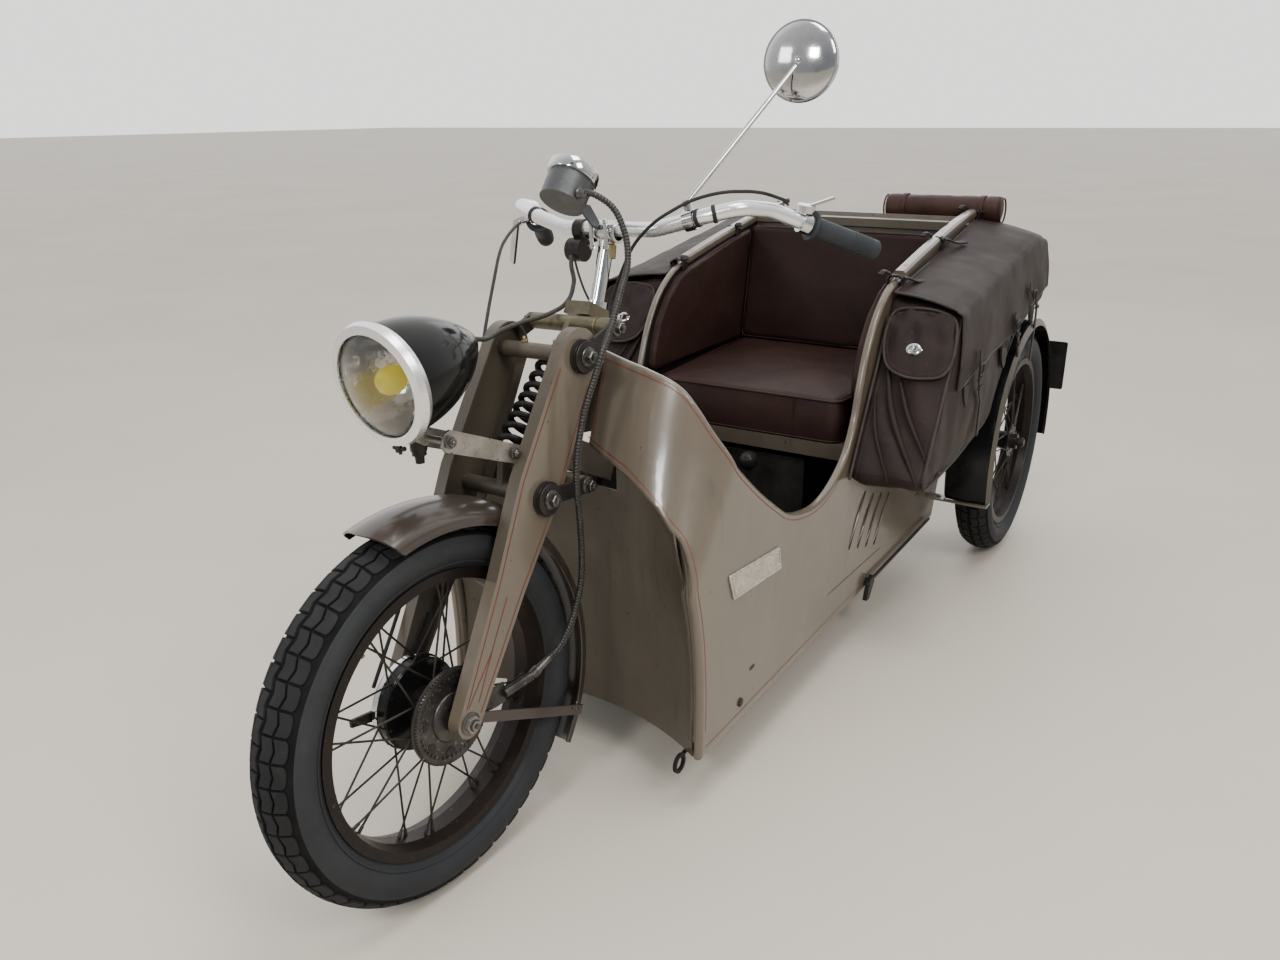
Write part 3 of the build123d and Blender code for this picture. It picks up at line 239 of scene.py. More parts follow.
material("seat_leather", (0.031, 0.0145, 0.0118), 0.47, 0.0, vary=(0.022, 0.0105, 0.009),
         vary_scale=7.0, grain=0.00016, grain_scale=620.0, bump2=0.0016, bump2_scale=16.0,
         dust=(0.044, 0.024, 0.020), dust_cut=0.62, dust_up=True, sheen=0.0,
         ior=1.27)
# the seat leather darkened as painted shade, for the backrest
material("seat_leather_shaded", (0.0205, 0.0096, 0.0079), 0.50, 0.0, vary=(0.0150, 0.0071, 0.0061),
         vary_scale=7.0, grain=0.00016, grain_scale=620.0, bump2=0.0016, bump2_scale=16.0, ior=1.24)
material("bag_leather", (0.030, 0.0208, 0.0192), 0.50, 0.0, vary=(0.0195, 0.0137, 0.0128),
         vary_scale=6.0, grain=0.00022, grain_scale=520.0, bump2=0.0030, bump2_scale=11.0,
         dust=(0.034, 0.0255, 0.0235), dust_cut=0.70, dust_up=True, specks=(0.04, 0.031, 0.029),
         speck_scale=130.0, speck_cut=0.72, sheen=0.0,
         ior=1.2)
material("bag_edge", (0.050, 0.040, 0.037), 0.5, 0.0, vary=(0.030, 0.023, 0.021), vary_scale=30.0,
         grain=0.0002, grain_scale=520.0,
         ior=1.27)
material("strap_leather", (0.014, 0.011, 0.011), 0.52, 0.0, vary=(0.026, 0.019, 0.018),
         vary_scale=40.0, grain=0.0002, grain_scale=560.0,
         ior=1.27)
material("roll_leather", (0.046, 0.021, 0.017), 0.45, 0.0, vary=(0.030, 0.014, 0.0115),
         vary_scale=9.0, grain=0.0002, grain_scale=560.0, bump2=0.0015, bump2_scale=24.0,
         dust=(0.06, 0.038, 0.032), dust_cut=0.6, dust_up=True,
         ior=1.27)
material("thread", (0.075, 0.058, 0.048), 0.7, 0.0, vary=(0.045, 0.034, 0.029), vary_scale=50.0)
material("grip", (0.026, 0.031, 0.036), 0.56, 0.0, vary=(0.033, 0.037, 0.041), vary_scale=30.0,
         dust=(0.05, 0.052, 0.052), dust_cut=0.66, bump=0.0002, bump_scale=380.0,
         ior=1.27)
material("rubber_black", (0.016, 0.016, 0.017), 0.5, 0.0, vary=(0.03, 0.03, 0.03), vary_scale=40.0,
         bump=0.0002, bump_scale=500.0,
         ior=1.27)
material("braid", (0.022, 0.020, 0.019), 0.62, 0.0, vary=(0.045, 0.040, 0.036), vary_scale=160.0,
         bump=0.0006, bump_scale=900.0)
material("armour", (0.016, 0.0155, 0.015), 0.36, 0.2, vary=(0.034, 0.032, 0.030), vary_scale=120.0,
         bump=0.0001, bump_scale=600.0)
material("meter_grey", (0.085, 0.090, 0.094), 0.42, 0.5, vary=(0.055, 0.058, 0.060), vary_scale=24.0,
         specks=(0.16, 0.155, 0.15), speck_scale=170.0, speck_cut=0.72, bump=0.0001, bump_scale=260.0)
# near-black painted shade for the tyre's grooves
material("groove_shade", (0.0035, 0.0035, 0.0038), 0.85, 0.0, vary=(0.008, 0.0078, 0.0076), vary_scale=30.0,
         ior=1.27)
material("bolt_steel", (0.15, 0.145, 0.14), 0.34, 0.9, vary=(0.08, 0.075, 0.07), vary_scale=60.0,
         specks=(0.05, 0.035, 0.025), speck_scale=260.0, speck_cut=0.66, bump=0.0001, bump_scale=300.0)
material("worn_steel", (0.085, 0.080, 0.076), 0.42, 0.8, vary=(0.045, 0.041, 0.038), vary_scale=34.0,
         specks=(0.20, 0.19, 0.175), speck_scale=150.0, speck_cut=0.66, bump=0.0002, bump_scale=260.0)
material("bakelite", (0.013, 0.012, 0.012), 0.28, 0.0, vary=(0.03, 0.027, 0.025), vary_scale=30.0,
         bump=0.00005, bump_scale=250.0,
         ior=1.27)
material("glass", (0.93, 0.94, 0.92), 0.03, 0.0, vary=(0.88, 0.88, 0.85), vary_scale=12.0,
         transmission=1.0, rough_vary=0.02, bump=0.0002, bump_scale=60.0)
material("bulb_glass", (0.60, 0.50, 0.008), 0.06, 0.0, vary=(0.52, 0.42, 0.006), vary_scale=20.0,
         transmission=0.25, rough_vary=0.02, emission=(0.80, 0.66, 0.01, 0.28))
material("reflector", (0.50, 0.485, 0.46), 0.12, 1.0, vary=(0.36, 0.34, 0.31), vary_scale=25.0,
         bump=0.0008, bump_scale=70.0, rough_vary=0.06)
material("mirror_glass", (0.82, 0.83, 0.83), 0.03, 1.0, vary=(0.78, 0.79, 0.79), vary_scale=12.0, rough_vary=0.01)
material("red_lens", (0.32, 0.015, 0.012), 0.12, 0.0, vary=(0.22, 0.01, 0.01), vary_scale=30.0,
         coat=0.5)
material("plate_black", (0.008, 0.008, 0.008), 0.3, 0.0, vary=(0.02, 0.02, 0.02), vary_scale=20.0,
         bump=0.0001, bump_scale=160.0,
         ior=1.27)
material("badge", (0.66, 0.64, 0.58), 0.32, 0.9, vary=(0.50, 0.47, 0.41), vary_scale=60.0,
         specks=(0.18, 0.15, 0.11), speck_scale=260.0, speck_cut=0.64, bump=0.0003, bump_scale=260.0)
material("dial_face", (0.62, 0.60, 0.54), 0.5, 0.0, vary=(0.55, 0.52, 0.46), vary_scale=30.0)
material("dial_ink", (0.012, 0.012, 0.012), 0.5, 0.0, vary=(0.02, 0.02, 0.02), vary_scale=30.0)
material("cast", (0.060, 0.056, 0.052), 0.62, 0.4, vary=(0.035, 0.030, 0.027), vary_scale=20.0,
         bump=0.0005, bump_scale=260.0)
material("floor_grey", (0.60, 0.55, 0.475), 0.55, 0.0, vary=(0.55, 0.50, 0.43), vary_scale=0.7,
         bump=0.0004, bump_scale=40.0, rough_vary=0.08)
material("backdrop", (0.78, 0.78, 0.78), 0.8, 0.0, vary=(0.76, 0.76, 0.76), vary_scale=0.4)


# ------------------------------------------------------------------ mesh helpers
def add(name, verts, faces, mat, body, slot=None, stand_for=(), smooth=True, angle=38.0,
        weighted=False, mats=None, face_mats=None):
    """A mesh piece in metres from millimetre vertices, riding on a body."""
    me = bpy.data.meshes.new(name)
    me.from_pydata([tuple(float(c) * MM for c in v) for v in verts], [], [tuple(f) for f in faces])
    me.validate()
    bm = bmesh.new()
    bm.from_mesh(me)
    bmesh.ops.recalc_face_normals(bm, faces=bm.faces)
    bm.to_mesh(me)
    bm.free()
    return add_mesh(name, me, mat, body, slot, stand_for, smooth, angle, weighted, mats, face_mats)


def add_mesh(name, me, mat, body, slot=None, stand_for=(), smooth=True, angle=38.0,
             weighted=False, mats=None, face_mats=None):
    ob = bpy.data.objects.new(name, me)
    bpy.context.scene.collection.objects.link(ob)
    me.materials.clear()
    for m in (mats or [mat]):
        me.materials.append(MATS[m])
    if face_mats is not None:
        me.polygons.foreach_set("material_index", face_mats)
    if smooth:
        me.polygons.foreach_set("use_smooth", [True] * len(me.polygons))
        me.set_sharp_from_angle(angle=math.radians(angle))
    if weighted:
        w = ob.modifiers.new("normals", "WEIGHTED_NORMAL")
        w.keep_sharp = True
    me.update()
    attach(ob, body)
    if stand_for:
        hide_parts(*((stand_for,) if isinstance(stand_for, str) else stand_for))
    return ob


def vec(*p):
    return np.array(p, float)


def unit(v):
    v = np.asarray(v, float)
    return v / np.linalg.norm(v)


def smooth(points, n=6, sharp=(), closed=False):
    """Catmull-Rom through the points; a sharp point keeps its corner."""
    pts = [np.asarray(p, float) for p in points]
    count = len(pts)
    out = []
    last = count if closed else count - 1
    for i in range(last):
        p1, p2 = pts[i], pts[(i + 1) % count]
        p0 = pts[i - 1] if (closed or i > 0) and i not in sharp else 2 * p1 - p2
        j = (i + 1) % count
        p3 = pts[(i + 2) % count] if (closed or i + 2 < count) and j not in sharp else 2 * p2 - p1
        t = [0.0]
        for a, b in ((p0, p1), (p1, p2), (p2, p3)):
            t.append(t[-1] + max(np.linalg.norm(b - a), 1e-6) ** 0.5)
        for k in range(n):
            x = t[1] + (t[2] - t[1]) * k / n
            a1 = (t[1] - x) / (t[1] - t[0]) * p0 + (x - t[0]) / (t[1] - t[0]) * p1
            a2 = (t[2] - x) / (t[2] - t[1]) * p1 + (x - t[1]) / (t[2] - t[1]) * p2
            a3 = (t[3] - x) / (t[3] - t[2]) * p2 + (x - t[2]) / (t[3] - t[2]) * p3
            b1 = (t[2] - x) / (t[2] - t[0]) * a1 + (x - t[0]) / (t[2] - t[0]) * a2
            b2 = (t[3] - x) / (t[3] - t[1]) * a2 + (x - t[1]) / (t[3] - t[1]) * a3
            out.append((t[2] - x) / (t[2] - t[1]) * b1 + (x - t[1]) / (t[2] - t[1]) * b2)
    if not closed:
        out.append(pts[-1])
    return out


def frames(path, up=None, closed=False):
    """Tangent, side and up vectors along a path, carried without twist."""
    P = [np.asarray(p, float) for p in path]
    n = len(P)
    tan = []
    for i in range(n):
        a = P[i - 1] if (i > 0 or closed) else P[i]
        b = P[(i + 1) % n] if (i < n - 1 or closed) else P[i]
        tan.append(unit(b - a))
    ref = np.asarray(up, float) if up is not None else vec(0, 0, 1)
    if abs(np.dot(unit(ref), tan[0])) > 0.95:
        ref = vec(1, 0, 0)
    side = unit(np.cross(tan[0], ref))
    out = []
    for i in range(n):
        side = unit(side - tan[i] * np.dot(side, tan[i]))
        out.append((tan[i], side, np.cross(side, tan[i])))
    return P, out


def tube_data(path, radius, segs=10, closed=False, caps=True, section=None, up=None):
    """Vertices and faces of a tube; radius may be a number or one per point."""
    P, F = frames(path, up, closed)
    n = len(P)
    rad = [radius] * n if np.isscalar(radius) else list(radius)
    if section is None:
        section = [(math.cos(2 * math.pi * k / segs), math.sin(2 * math.pi * k / segs))
                   for k in range(segs)]
    m = len(section)
    verts, faces = [], []
    for p, (t, s, u), r in zip(P, F, rad):
        for a, b in section:
            verts.append(p + s * a * r + u * b * r)
    for i in range(n if closed else n - 1):
        for k in range(m):
            a, b = i * m + k, i * m + (k + 1) % m
            c, d = ((i + 1) % n) * m + (k + 1) % m, ((i + 1) % n) * m + k
            faces.append((a, b, c, d))
    if caps and not closed:
        faces.append(tuple(range(m))[::-1])
        faces.append(tuple((n - 1) * m + k for k in range(m)))
    return verts, faces


def join(parts):
    verts, faces = [], []
    for v, f in parts:
        off = len(verts)
        verts.extend(v)
        faces.extend(tuple(i + off for i in face) for face in f)
    return verts, faces


def revolve_data(profile, origin, axis, steps=48, ref=None, closed_profile=False):
    """Profile of (distance along the axis, radius) turned about the axis."""
    axis = unit(axis)
    ref = vec(0, 0, 1) if ref is None and abs(axis[2]) < 0.9 else (vec(1, 0, 0) if ref is None else ref)
    e1 = unit(ref - axis * np.dot(ref, axis))
    e2 = np.cross(axis, e1)
    origin = np.asarray(origin, float)
    verts, faces, m = [], [], len(profile)
    for k in range(steps):
        a = 2 * math.pi * k / steps
        d = e1 * math.cos(a) + e2 * math.sin(a)
        for h, r in profile:
            verts.append(origin + axis * h + d * max(r, 0.02))
    last = m if closed_profile else m - 1
    for k in range(steps):
        j = (k + 1) % steps
        for i in range(last):
            a, b = k * m + i, k * m + (i + 1) % m
            faces.append((a, b, j * m + (i + 1) % m, j * m + i))
    if not closed_profile:
        for end in (0, m - 1):
            faces.append(tuple(k * m + end for k in range(steps)))
    return verts, faces


def hex_data(centre, axis, flats, height, turn=0.0):
    """Hexagon head with a chamfered top, from centre outwards along the axis."""
    r = flats / math.sqrt(3)
    axis = unit(axis)
    ref = vec(0, 0, 1) if abs(axis[2]) < 0.9 else vec(1, 0, 0)
    e1 = unit(ref - axis * np.dot(ref, axis))
    e2 = np.cross(axis, e1)
    verts, faces = [], []
    for h, s in ((0, 1.0), (height * 0.86, 1.0), (height, 0.86)):
        for k in range(6):
            a = math.pi / 3 * k + turn
            verts.append(np.asarray(centre, float) + axis * h + (e1 * math.cos(a) + e2 * math.sin(a)) * r * s)
    for lv in range(2):
        for k in range(6):
            a, b = lv * 6 + k, lv * 6 + (k + 1) % 6
            faces.append((a, b, b + 6, a + 6))
    faces += [tuple(range(6))[::-1], tuple(range(12, 18))]
    return verts, faces


def bolt_data(centre, axis, flats=13, height=6, washer=0.0, stud=0.0, turn=0.3):
    """Washer, hexagon and the threaded end that shows beyond it."""
    axis, c = unit(axis), np.asarray(centre, float)
    parts = []
    if washer:
        parts.append(revolve_data([(0, 1.0), (0, flats * 0.78), (washer * 0.7, flats * 0.78),
                                   (washer, flats * 0.72), (washer, 1.0)], c, axis, 20))
    parts.append(hex_data(c + axis * washer, axis, flats, height, turn))
    if stud:
        r = flats * 0.26
        prof = [(0, 0.1), (0, r)]
        k = 0.0
        while k < stud - 1:
            prof += [(k + 0.35, r), (k + 0.7, r * 0.86)]
            k += 0.9
        prof += [(stud - 0.6, r * 0.95), (stud, r * 0.7), (stud, 0.1)]
        parts.append(revolve_data(prof, c + axis * (washer + height - 0.5), axis, 14))
    return join(parts)


def inset_path(path, dist, closed=True):
    """Parallel curve of a 2-D path; positive is to the left of its direction."""
    P = [np.asarray(p, float) for p in path]
    n, out = len(P), []
    for i in range(n):
        a = P[i - 1] if (closed or i > 0) else None
        b = P[(i + 1) % n] if (closed or i < n - 1) else None
        ds = []
        if a is not None:
            ds.append(unit(P[i] - a))
        if b is not None:
            ds.append(unit(b - P[i]))
        ns = [vec(-d[1], d[0]) for d in ds]
        m = sum(ns)
        m = unit(m)
        c = max(np.dot(m, ns[0]), 0.45)
        out.append(P[i] + m * dist / c)
    return out


def area2(path):
    return 0.5 * sum(path[i - 1][0] * path[i][1] - path[i][0] * path[i - 1][1] for i in range(len(path)))


def plate(name, outline, thick, r_out, r_in, mapping, mats, body, slot, stand_for=(), cuts=(),
          seg=3, crown=0.0, crown_width=40.0, crown_back=0.0, wrinkle=None, angle=50.0,
          inner_mat=0, walls=0, bulge=0.0):
    """A plate or pad with rounded edges, drawn flat and then mapped onto the object.
    Flat coordinates: p, z and depth, with depth 0 on the outer face. cuts are lines
    (normal p, normal z, offsets) that split its faces so that they can bend."""
    path = [np.asarray(p, float) for p in outline]
    if area2(path) < 0:
        path = path[::-1]
    n = len(path)
    rings = []
    for k in range(seg + 1):
        a = math.pi / 2 * k / seg
        rings.append((r_out * (1 - math.sin(a)), r_out * (1 - math.cos(a))))
    for k in range(1, walls + 1):
        t = k / (walls + 1)
        rings.append((-bulge * math.sin(math.pi * t), r_out + (thick - r_in - r_out) * t))
    for k in range(seg, -1, -1):
        a = math.pi / 2 * k / seg
        rings.append((r_in * (1 - math.sin(a)), thick - r_in * (1 - math.cos(a))))
    bm = bmesh.new()
    grid = []
    for ins, dep in rings:
        ring = inset_path(path, ins) if abs(ins) > 1e-6 else path
        grid.append([bm.verts.new((q[0], q[1], dep)) for q in ring])
    for a, b in zip(grid[:-1], grid[1:]):
        for i in range(n):
            j = (i + 1) % n
            bm.faces.new((a[i], a[j], b[j], b[i]))
    bm.faces.new(grid[0])
    bm.faces.new(grid[-1][::-1])
    bm.normal_update()
    bmesh.ops.triangulate(bm, faces=[f for f in bm.faces if len(f.verts) > 4],
                          ngon_method="EAR_CLIP")
    for np_, nz_, offsets in cuts:
        nrm = Vector((np_, nz_, 0)).normalized()
        for o in offsets:
            geom = bm.verts[:] + bm.edges[:] + bm.faces[:]
            bmesh.ops.bisect_plane(bm, geom=geom, plane_co=nrm * (o / math.hypot(np_, nz_)),
                                   plane_no=nrm, dist=1e-4)
    bmesh.ops.remove_doubles(bm, verts=bm.verts, dist=1e-3)
    bmesh.ops.recalc_face_normals(bm, faces=bm.faces)
    edges = np.array([[a, b] for a, b in zip(path, path[1:] + path[:1])])

    def dist(q):
        a, d = edges[:, 0], edges[:, 1] - edges[:, 0]
        t = np.clip(((q - a) * d).sum(1) / np.maximum((d * d).sum(1), 1e-9), 0, 1)
        return np.linalg.norm(a + d * t[:, None] - q, axis=1).min()

    for f in bm.faces:
        f.material_index = inner_mat if all(v.co.z > thick - 0.2 for v in f.verts) else 0
    for v in bm.verts:
        p, z, dep = v.co
        if crown or crown_back or wrinkle:
            d = dist(np.array([p, z]))
            w = 1 - math.exp(-(d / crown_width) ** 1.3) if d > 0 else 0
            front = max(0.0, 1 - dep / (thick * 0.5))
            back = max(0.0, dep / (thick * 0.5) - 1)
            extra = wrinkle(p, z) * min(1.0, d / 25.0) if wrinkle else 0.0
            dep = dep - (crown * w + extra) * front + crown_back * w * back
        v.co = Vector([float(c) * MM for c in mapping(p, z, dep)])
    me = bpy.data.meshes.new(name)
    bm.normal_update()
    bmesh.ops.recalc_face_normals(bm, faces=bm.faces)
    bm.to_mesh(me)
    bm.free()
    ids = [p.material_index for p in me.polygons]
    return add_mesh(name, me, mats[0], body, slot, stand_for, True, angle, True, mats, ids)


def ribbon_data(path, width, mapping, lift=0.3):
    """Painted line: a thin strip along a flat path, just proud of the mapped surface."""
    a = inset_path(path, width / 2, closed=False)
    b = inset_path(path, -width / 2, closed=False)
    verts = [mapping(q[0], q[1], -lift) for q in a] + [mapping(q[0], q[1], -lift) for q in b]
    n = len(path)
    return verts, [(i, i + 1, n + i + 1, n + i) for i in range(n - 1)]


def soften(node, width, mats, body, slot, segs=2, limit=32.0, name=None, pick=None, extra=None,
           weighted=True):
    """The CAD node's own shape with its hard edges rounded, as the piece that stands for it."""
    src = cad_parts[node]
    me = src.data.copy()
    bm = bmesh.new()
    bm.from_mesh(me)
    bm.transform(src.matrix_world)
    bmesh.ops.remove_doubles(bm, verts=bm.verts, dist=2e-6)
    bmesh.ops.dissolve_limit(bm, angle_limit=math.radians(0.6), verts=bm.verts, edges=bm.edges)
    if extra:
        extra(bm)
    bm.to_mesh(me)
    bm.free()
    for attr in [a.name for a in me.attributes if a.name in ("custom_normal",)]:
        me.attributes.remove(me.attributes[attr])
    tmp = bpy.data.objects.new("tmp", me)
    bpy.context.scene.collection.objects.link(tmp)
    if width > 0:
        b = tmp.modifiers.new("bevel", "BEVEL")
        b.width, b.segments, b.limit_method = width * MM, segs, "ANGLE"
        b.angle_limit, b.use_clamp_overlap = math.radians(limit), True
    deps = bpy.context.evaluated_depsgraph_get()
    out = bpy.data.meshes.new_from_object(tmp.evaluated_get(deps))
    bpy.data.objects.remove(tmp)
    ids = None
    if pick:
        ids = [pick(tuple(c / MM for c in p.center), tuple(p.normal)) for p in out.polygons]
    return add_mesh(name or node.replace("_", "-") + "-shape", out, mats[0], body, slot, node, True, 36.0,
                    weighted, mats, ids)


def dress(node, *mats):
    """A CAD node kept as it is, with a better material."""
    me_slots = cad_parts[node].material_slots
    for i, s in enumerate(me_slots):
        s.material = MATS[mats[min(i, len(mats) - 1)]]


# ------------------------------------------------------------------ stage
def make_stage():
    verts = [(-60000, -60000, 0), (60000, -60000, 0), (60000, 60000, 0), (-60000, 60000, 0)]
    me = bpy.data.meshes.new("floor")
    me.from_pydata([tuple(c * MM for c in v) for v in verts], [], [(0, 1, 2, 3)])
    ob = bpy.data.objects.new("floor", me)
    bpy.context.scene.collection.objects.link(ob)
    me.materials.append(MATS["floor_grey"])
    world = bpy.data.worlds.new("world")
    bpy.context.scene.world = world
    world.use_nodes = True
    bg = world.node_tree.nodes["Background"]
    nodes, link = world.node_tree.nodes, world.node_tree.links
    where, dot = nodes.new("ShaderNodeTexCoord"), nodes.new("ShaderNodeVectorMath")
    dot.operation = "DOT_PRODUCT"
    dot.inputs[1].default_value = (-0.80, -0.45, 0.40)
    ramp = nodes.new("ShaderNodeValToRGB")
    ramp.color_ramp.elements[0].position, ramp.color_ramp.elements[0].color = 0.10, (0.17, 0.175, 0.19, 1.0)
    ramp.color_ramp.elements[1].position, ramp.color_ramp.elements[1].color = 0.86, (1.0, 0.99, 0.97, 1.0)
    middle = ramp.color_ramp.elements.new(0.55)
    middle.color = (0.46, 0.46, 0.465, 1.0)
    half = nodes.new("ShaderNodeMath")
    half.operation = "MULTIPLY_ADD"
    half.inputs[1].default_value, half.inputs[2].default_value = 0.5, 0.5
    link.new(where.outputs["Generated"], dot.inputs[0])
    link.new(dot.outputs["Value"], half.inputs[0])
    link.new(half.outputs["Value"], ramp.inputs["Fac"])
    link.new(ramp.outputs["Color"], bg.inputs["Color"])
    bg.inputs["Strength"].default_value = 1.7
    for name, at, size, power, target, tint in (
            ("key", (1.8, 3.0, 3.3), 1.4, 82, (0.2, 0.0, 0.4), (1.0, 0.97, 0.92)),
            ("top", (0.7, 0.7, 3.6), 1.2, 45, (0.3, 0.1, 0.4), (1.0, 0.98, 0.95)),
            ("glint", (3.0, 0.35, 2.2), 0.45, 34, (0.6, 0.2, 0.6), (1.0, 0.99, 0.97)),
            ("fill", (4.2, -2.4, 2.6), 1.2, 22, (0.2, 0.0, 0.5), (0.95, 0.97, 1.0)),
            ("rear", (-4.0, -1.0, 2.6), 2.4, 20, (-0.3, 0.0, 0.5), (0.97, 0.98, 1.0))):
        light = bpy.data.lights.new(name, "AREA")
        light.size, light.energy, light.color = size, power, tint
        lo = bpy.data.objects.new(name, light)
        lo.location = at
        lo.rotation_euler = (Vector(target) - Vector(at)).to_track_quat("-Z", "Y").to_euler()
        bpy.context.scene.collection.objects.link(lo)


make_stage()

# ------------------------------------------------------------------ dimensions, mm
BODY_HALF_W = 275.0
PANEL_T = 16.0
COWL_C, COWL_Y, COWL_Z = 803.4, 0.208, -0.384
CORNER_X = COWL_C + COWL_Y * BODY_HALF_W         # the corner's X at Z = 0
COWL_R = 46.0
STRETCH = math.sqrt(1 + COWL_Y ** 2)
FRONT_EDGE = [(600, 105), (597, 223), (608, 342), (636, 426)]
LEFT_WAVE = [(550, 663), (477, 599), (398, 535), (333, 489), (264, 446), (192, 425)]
LOW_SIDE = [(643, 446), (560, 449), (430, 436), (300, 424), (192, 419)]
DIP = [(118, 419), (42, 438), (-23, 478), (-64, 542), (-82, 602), (-114, 680),
       (-162, 745), (-217, 785)]
ARM_TOP = [(-254, 800), (-475, 843), (-708, 880), (-840, 893)]
REAR_EDGE = [(-856, 880), (-790, 330), (-700, 105)]
COWL_TOP = [(35, 776), (81, 769), (112, 765), (151, 760), (201, 749), (239, 733)]
COWL_ARCH = [(250, 532), (223, 553), (189, 573), (145, 593), (77, 613), (35, 627)]


def unroll(y, z):
    """Flat coordinates of a point of the cowl's face."""
    return (CORNER_X + COWL_Z * z + (BODY_HALF_W - y) * STRETCH, z)


TURN = math.acos(-COWL_Y / STRETCH)              # from the side round to the face


def bend_radius(z):
    """The corner is tight at the foot of the cowl and opens out towards its top."""
    w = min(1.0, max(0.0, (z - 335.0) / 345.0))
    return COWL_R + 84.0 * w * w * (3 - 2 * w)


def cowl_point(p, z, radius=None):
    r = bend_radius(z) if radius is None else radius
    q = p - COWL_Z * z - CORNER_X
    t = r * math.tan(TURN / 2)
    xc = CORNER_X + COWL_Z * z
    if q <= -t:
        return vec(p, BODY_HALF_W, z)
    if q >= t:
        return vec(xc - q * COWL_Y / STRETCH, BODY_HALF_W - q / STRETCH, z)
    a = (q + t) / (2 * t) * TURN
    return vec(xc - t + r * math.sin(a), BODY_HALF_W - r + r * math.cos(a), z)


def left_map(p, z, dep):
    base = cowl_point(p, z)
    n = unit(np.cross(cowl_point(p + 1, z) - cowl_point(p - 1, z), cowl_point(p, z + 1) - cowl_point(p, z - 1)))
    return base + n * dep


def follow_cowl(bm):
    """Carries a sheet that meets the cowl's inside along with the softer bend."""
    for v in bm.verts:
        x, y, z = (c / MM for c in v.co)
        if z < 335 or y < 60:
            continue
        u, w = x - (CORNER_X + COWL_Z * z), BODY_HALF_W - y
        q = u if -u > w else w * STRETCH
        if abs(u) + w < 1:
            q = 0.0
        p = q + COWL_Z * z + CORNER_X
        old = cowl_point(p, z, COWL_R)
        gap = math.hypot(x - old[0], y - old[1])
        shift = (cowl_point(p, z) - old) * max(0.0, 1 - max(0.0, gap - 18) / 130.0)
        v.co = tuple((np.array((x, y, z)) + shift) * MM)


def right_map(p, z, dep):
    return vec(p, -(BODY_HALF_W - dep), z)


def flat_left_map(p, z, dep):
    return vec(p, BODY_HALF_W - dep, z)


# ------------------------------------------------------------------ body shell
def side_outline(left):
    front = [*FRONT_EDGE]
    if left:
        arch = front[1:3] + [(628, 424), (656, 508)] + [unroll(y, z) for y, z in COWL_ARCH]
        top = [unroll(y, z) for y, z in COWL_TOP] + [(588.0, 706)] + LEFT_WAVE
    else:
        arch = front[1:] + [(645, 436)]
        top = LOW_SIDE[1:]
    arch_s = smooth([front[0]] + arch, 7)
    wave = smooth(top + DIP + ARM_TOP, 7)
    rear = smooth([ARM_TOP[-1], (-856, 880)], 2)[1:]
    rest = smooth([(-856, 880), (-790, 330), (-700, 105)], 3, sharp=(1,))[1:]
    return arch_s, wave, rear + rest


def make_panels():
    for left in (True, False):
        arch, wave, rest = side_outline(left)
        outline = arch + wave + rest
        mapping = left_map if left else right_map
        cuts = []
        if left:
            cuts = [(1.0, -COWL_Z, [CORNER_X + 9.0 * k for k in range(-20, 21)]),
                    (0.0, 1.0, list(range(344, 786, 22)))]
        name = "left" if left else "right"
        shell = plate(f"{name}-panel", outline, PANEL_T, 6.5, 4.5, mapping, ["paint", "interior"], "body",
                      "body_paint", f"{name}_side_panel", cuts, inner_mat=1)
        # the inside takes the body paint in painted shade for a hand's width behind the arch, so the gap there reads as
        # shade
        lip = [mapping(q[0], q[1], PANEL_T) for q in arch[2:]]
        shell.data.materials.append(MATS["paint_dark"])
        for f in shell.data.polygons:
            c = np.array(f.center) / MM
            if f.material_index == 1 and min(np.linalg.norm(c - q) for q in lip) < 60:
                f.material_index = 2
        # painted lines along the arch, the top edge and the sill
        lines = []
        lines.append(ribbon_data(inset_path(arch[3:], 13, closed=False), 1.7, mapping))
        lines.append(ribbon_data(inset_path(wave[:-22], 12, closed=False), 1.7, mapping))
        sill = [(582, 124), (300, 124), (0, 124), (-300, 124), (-690, 124)]
        sill_s = smooth(sill, 6)
        lines.append(ribbon_data(sill_s, 1.7, mapping))
        if left:
            inner = [unroll(45, z) for z in np.linspace(642, 764, 9)]
            lines.append(ribbon_data(inner, 1.7, mapping))
        add(f"{name}-lines", *join(lines), "stripe", "body", "body_paint", smooth=False)
        # beads in the body paint's painted shade fill the gap between the panel's rolled edge and the arch sheet
        bead = [mapping(q[0], q[1], PANEL_T - 1.0) for q in inset_path(arch[2:], 3.5, closed=False)]
        deep = [mapping(q[0], q[1], PANEL_T + 5.5) for q in inset_path(arch[2:], 7.0, closed=False)]
        add(f"{name}-arch-bead", *join([tube_data(bead, 5.0, 8), tube_data(deep, 7.6, 10)]), "paint_dark", "body",
            "body_paint")


make_panels()

# ------------------------------------------------------------------ wheels
FRONT_C = vec(934.62, -11.78, 299.80)
FRONT_AX = unit(vec(0.06526, 0.99731, 0.03325))
WHEELS = [  # name, centre, axle direction, body, outer side (+1 or -1 along the axle)
    ("front", FRONT_C, FRONT_AX, "front_wheel", 1),
    ("rear_left", vec(-865, 397, 300), vec(0, 1, 0), "rear_left_wheel", 1),
    ("rear_right", vec(-865, -397, 300), vec(0, 1, 0), "rear_right_wheel", -1),
]


def wheel_frame(c, ax):
    e1 = unit(vec(1, 0, 0) - ax * np.dot(vec(1, 0, 0), ax))
    e2 = np.cross(e1, ax)
    return lambda phi, r, y: c + ax * y + (e1 * math.cos(phi) + e2 * math.sin(phi)) * r


CROWN_C, CROWN_R = 244.5, 55.5                   # centre and radius of the tread's crown


def crown(v, h):
    a = v / CROWN_R
    return CROWN_C + (CROWN_R + h) * math.cos(a), (CROWN_R + h) * math.sin(a)


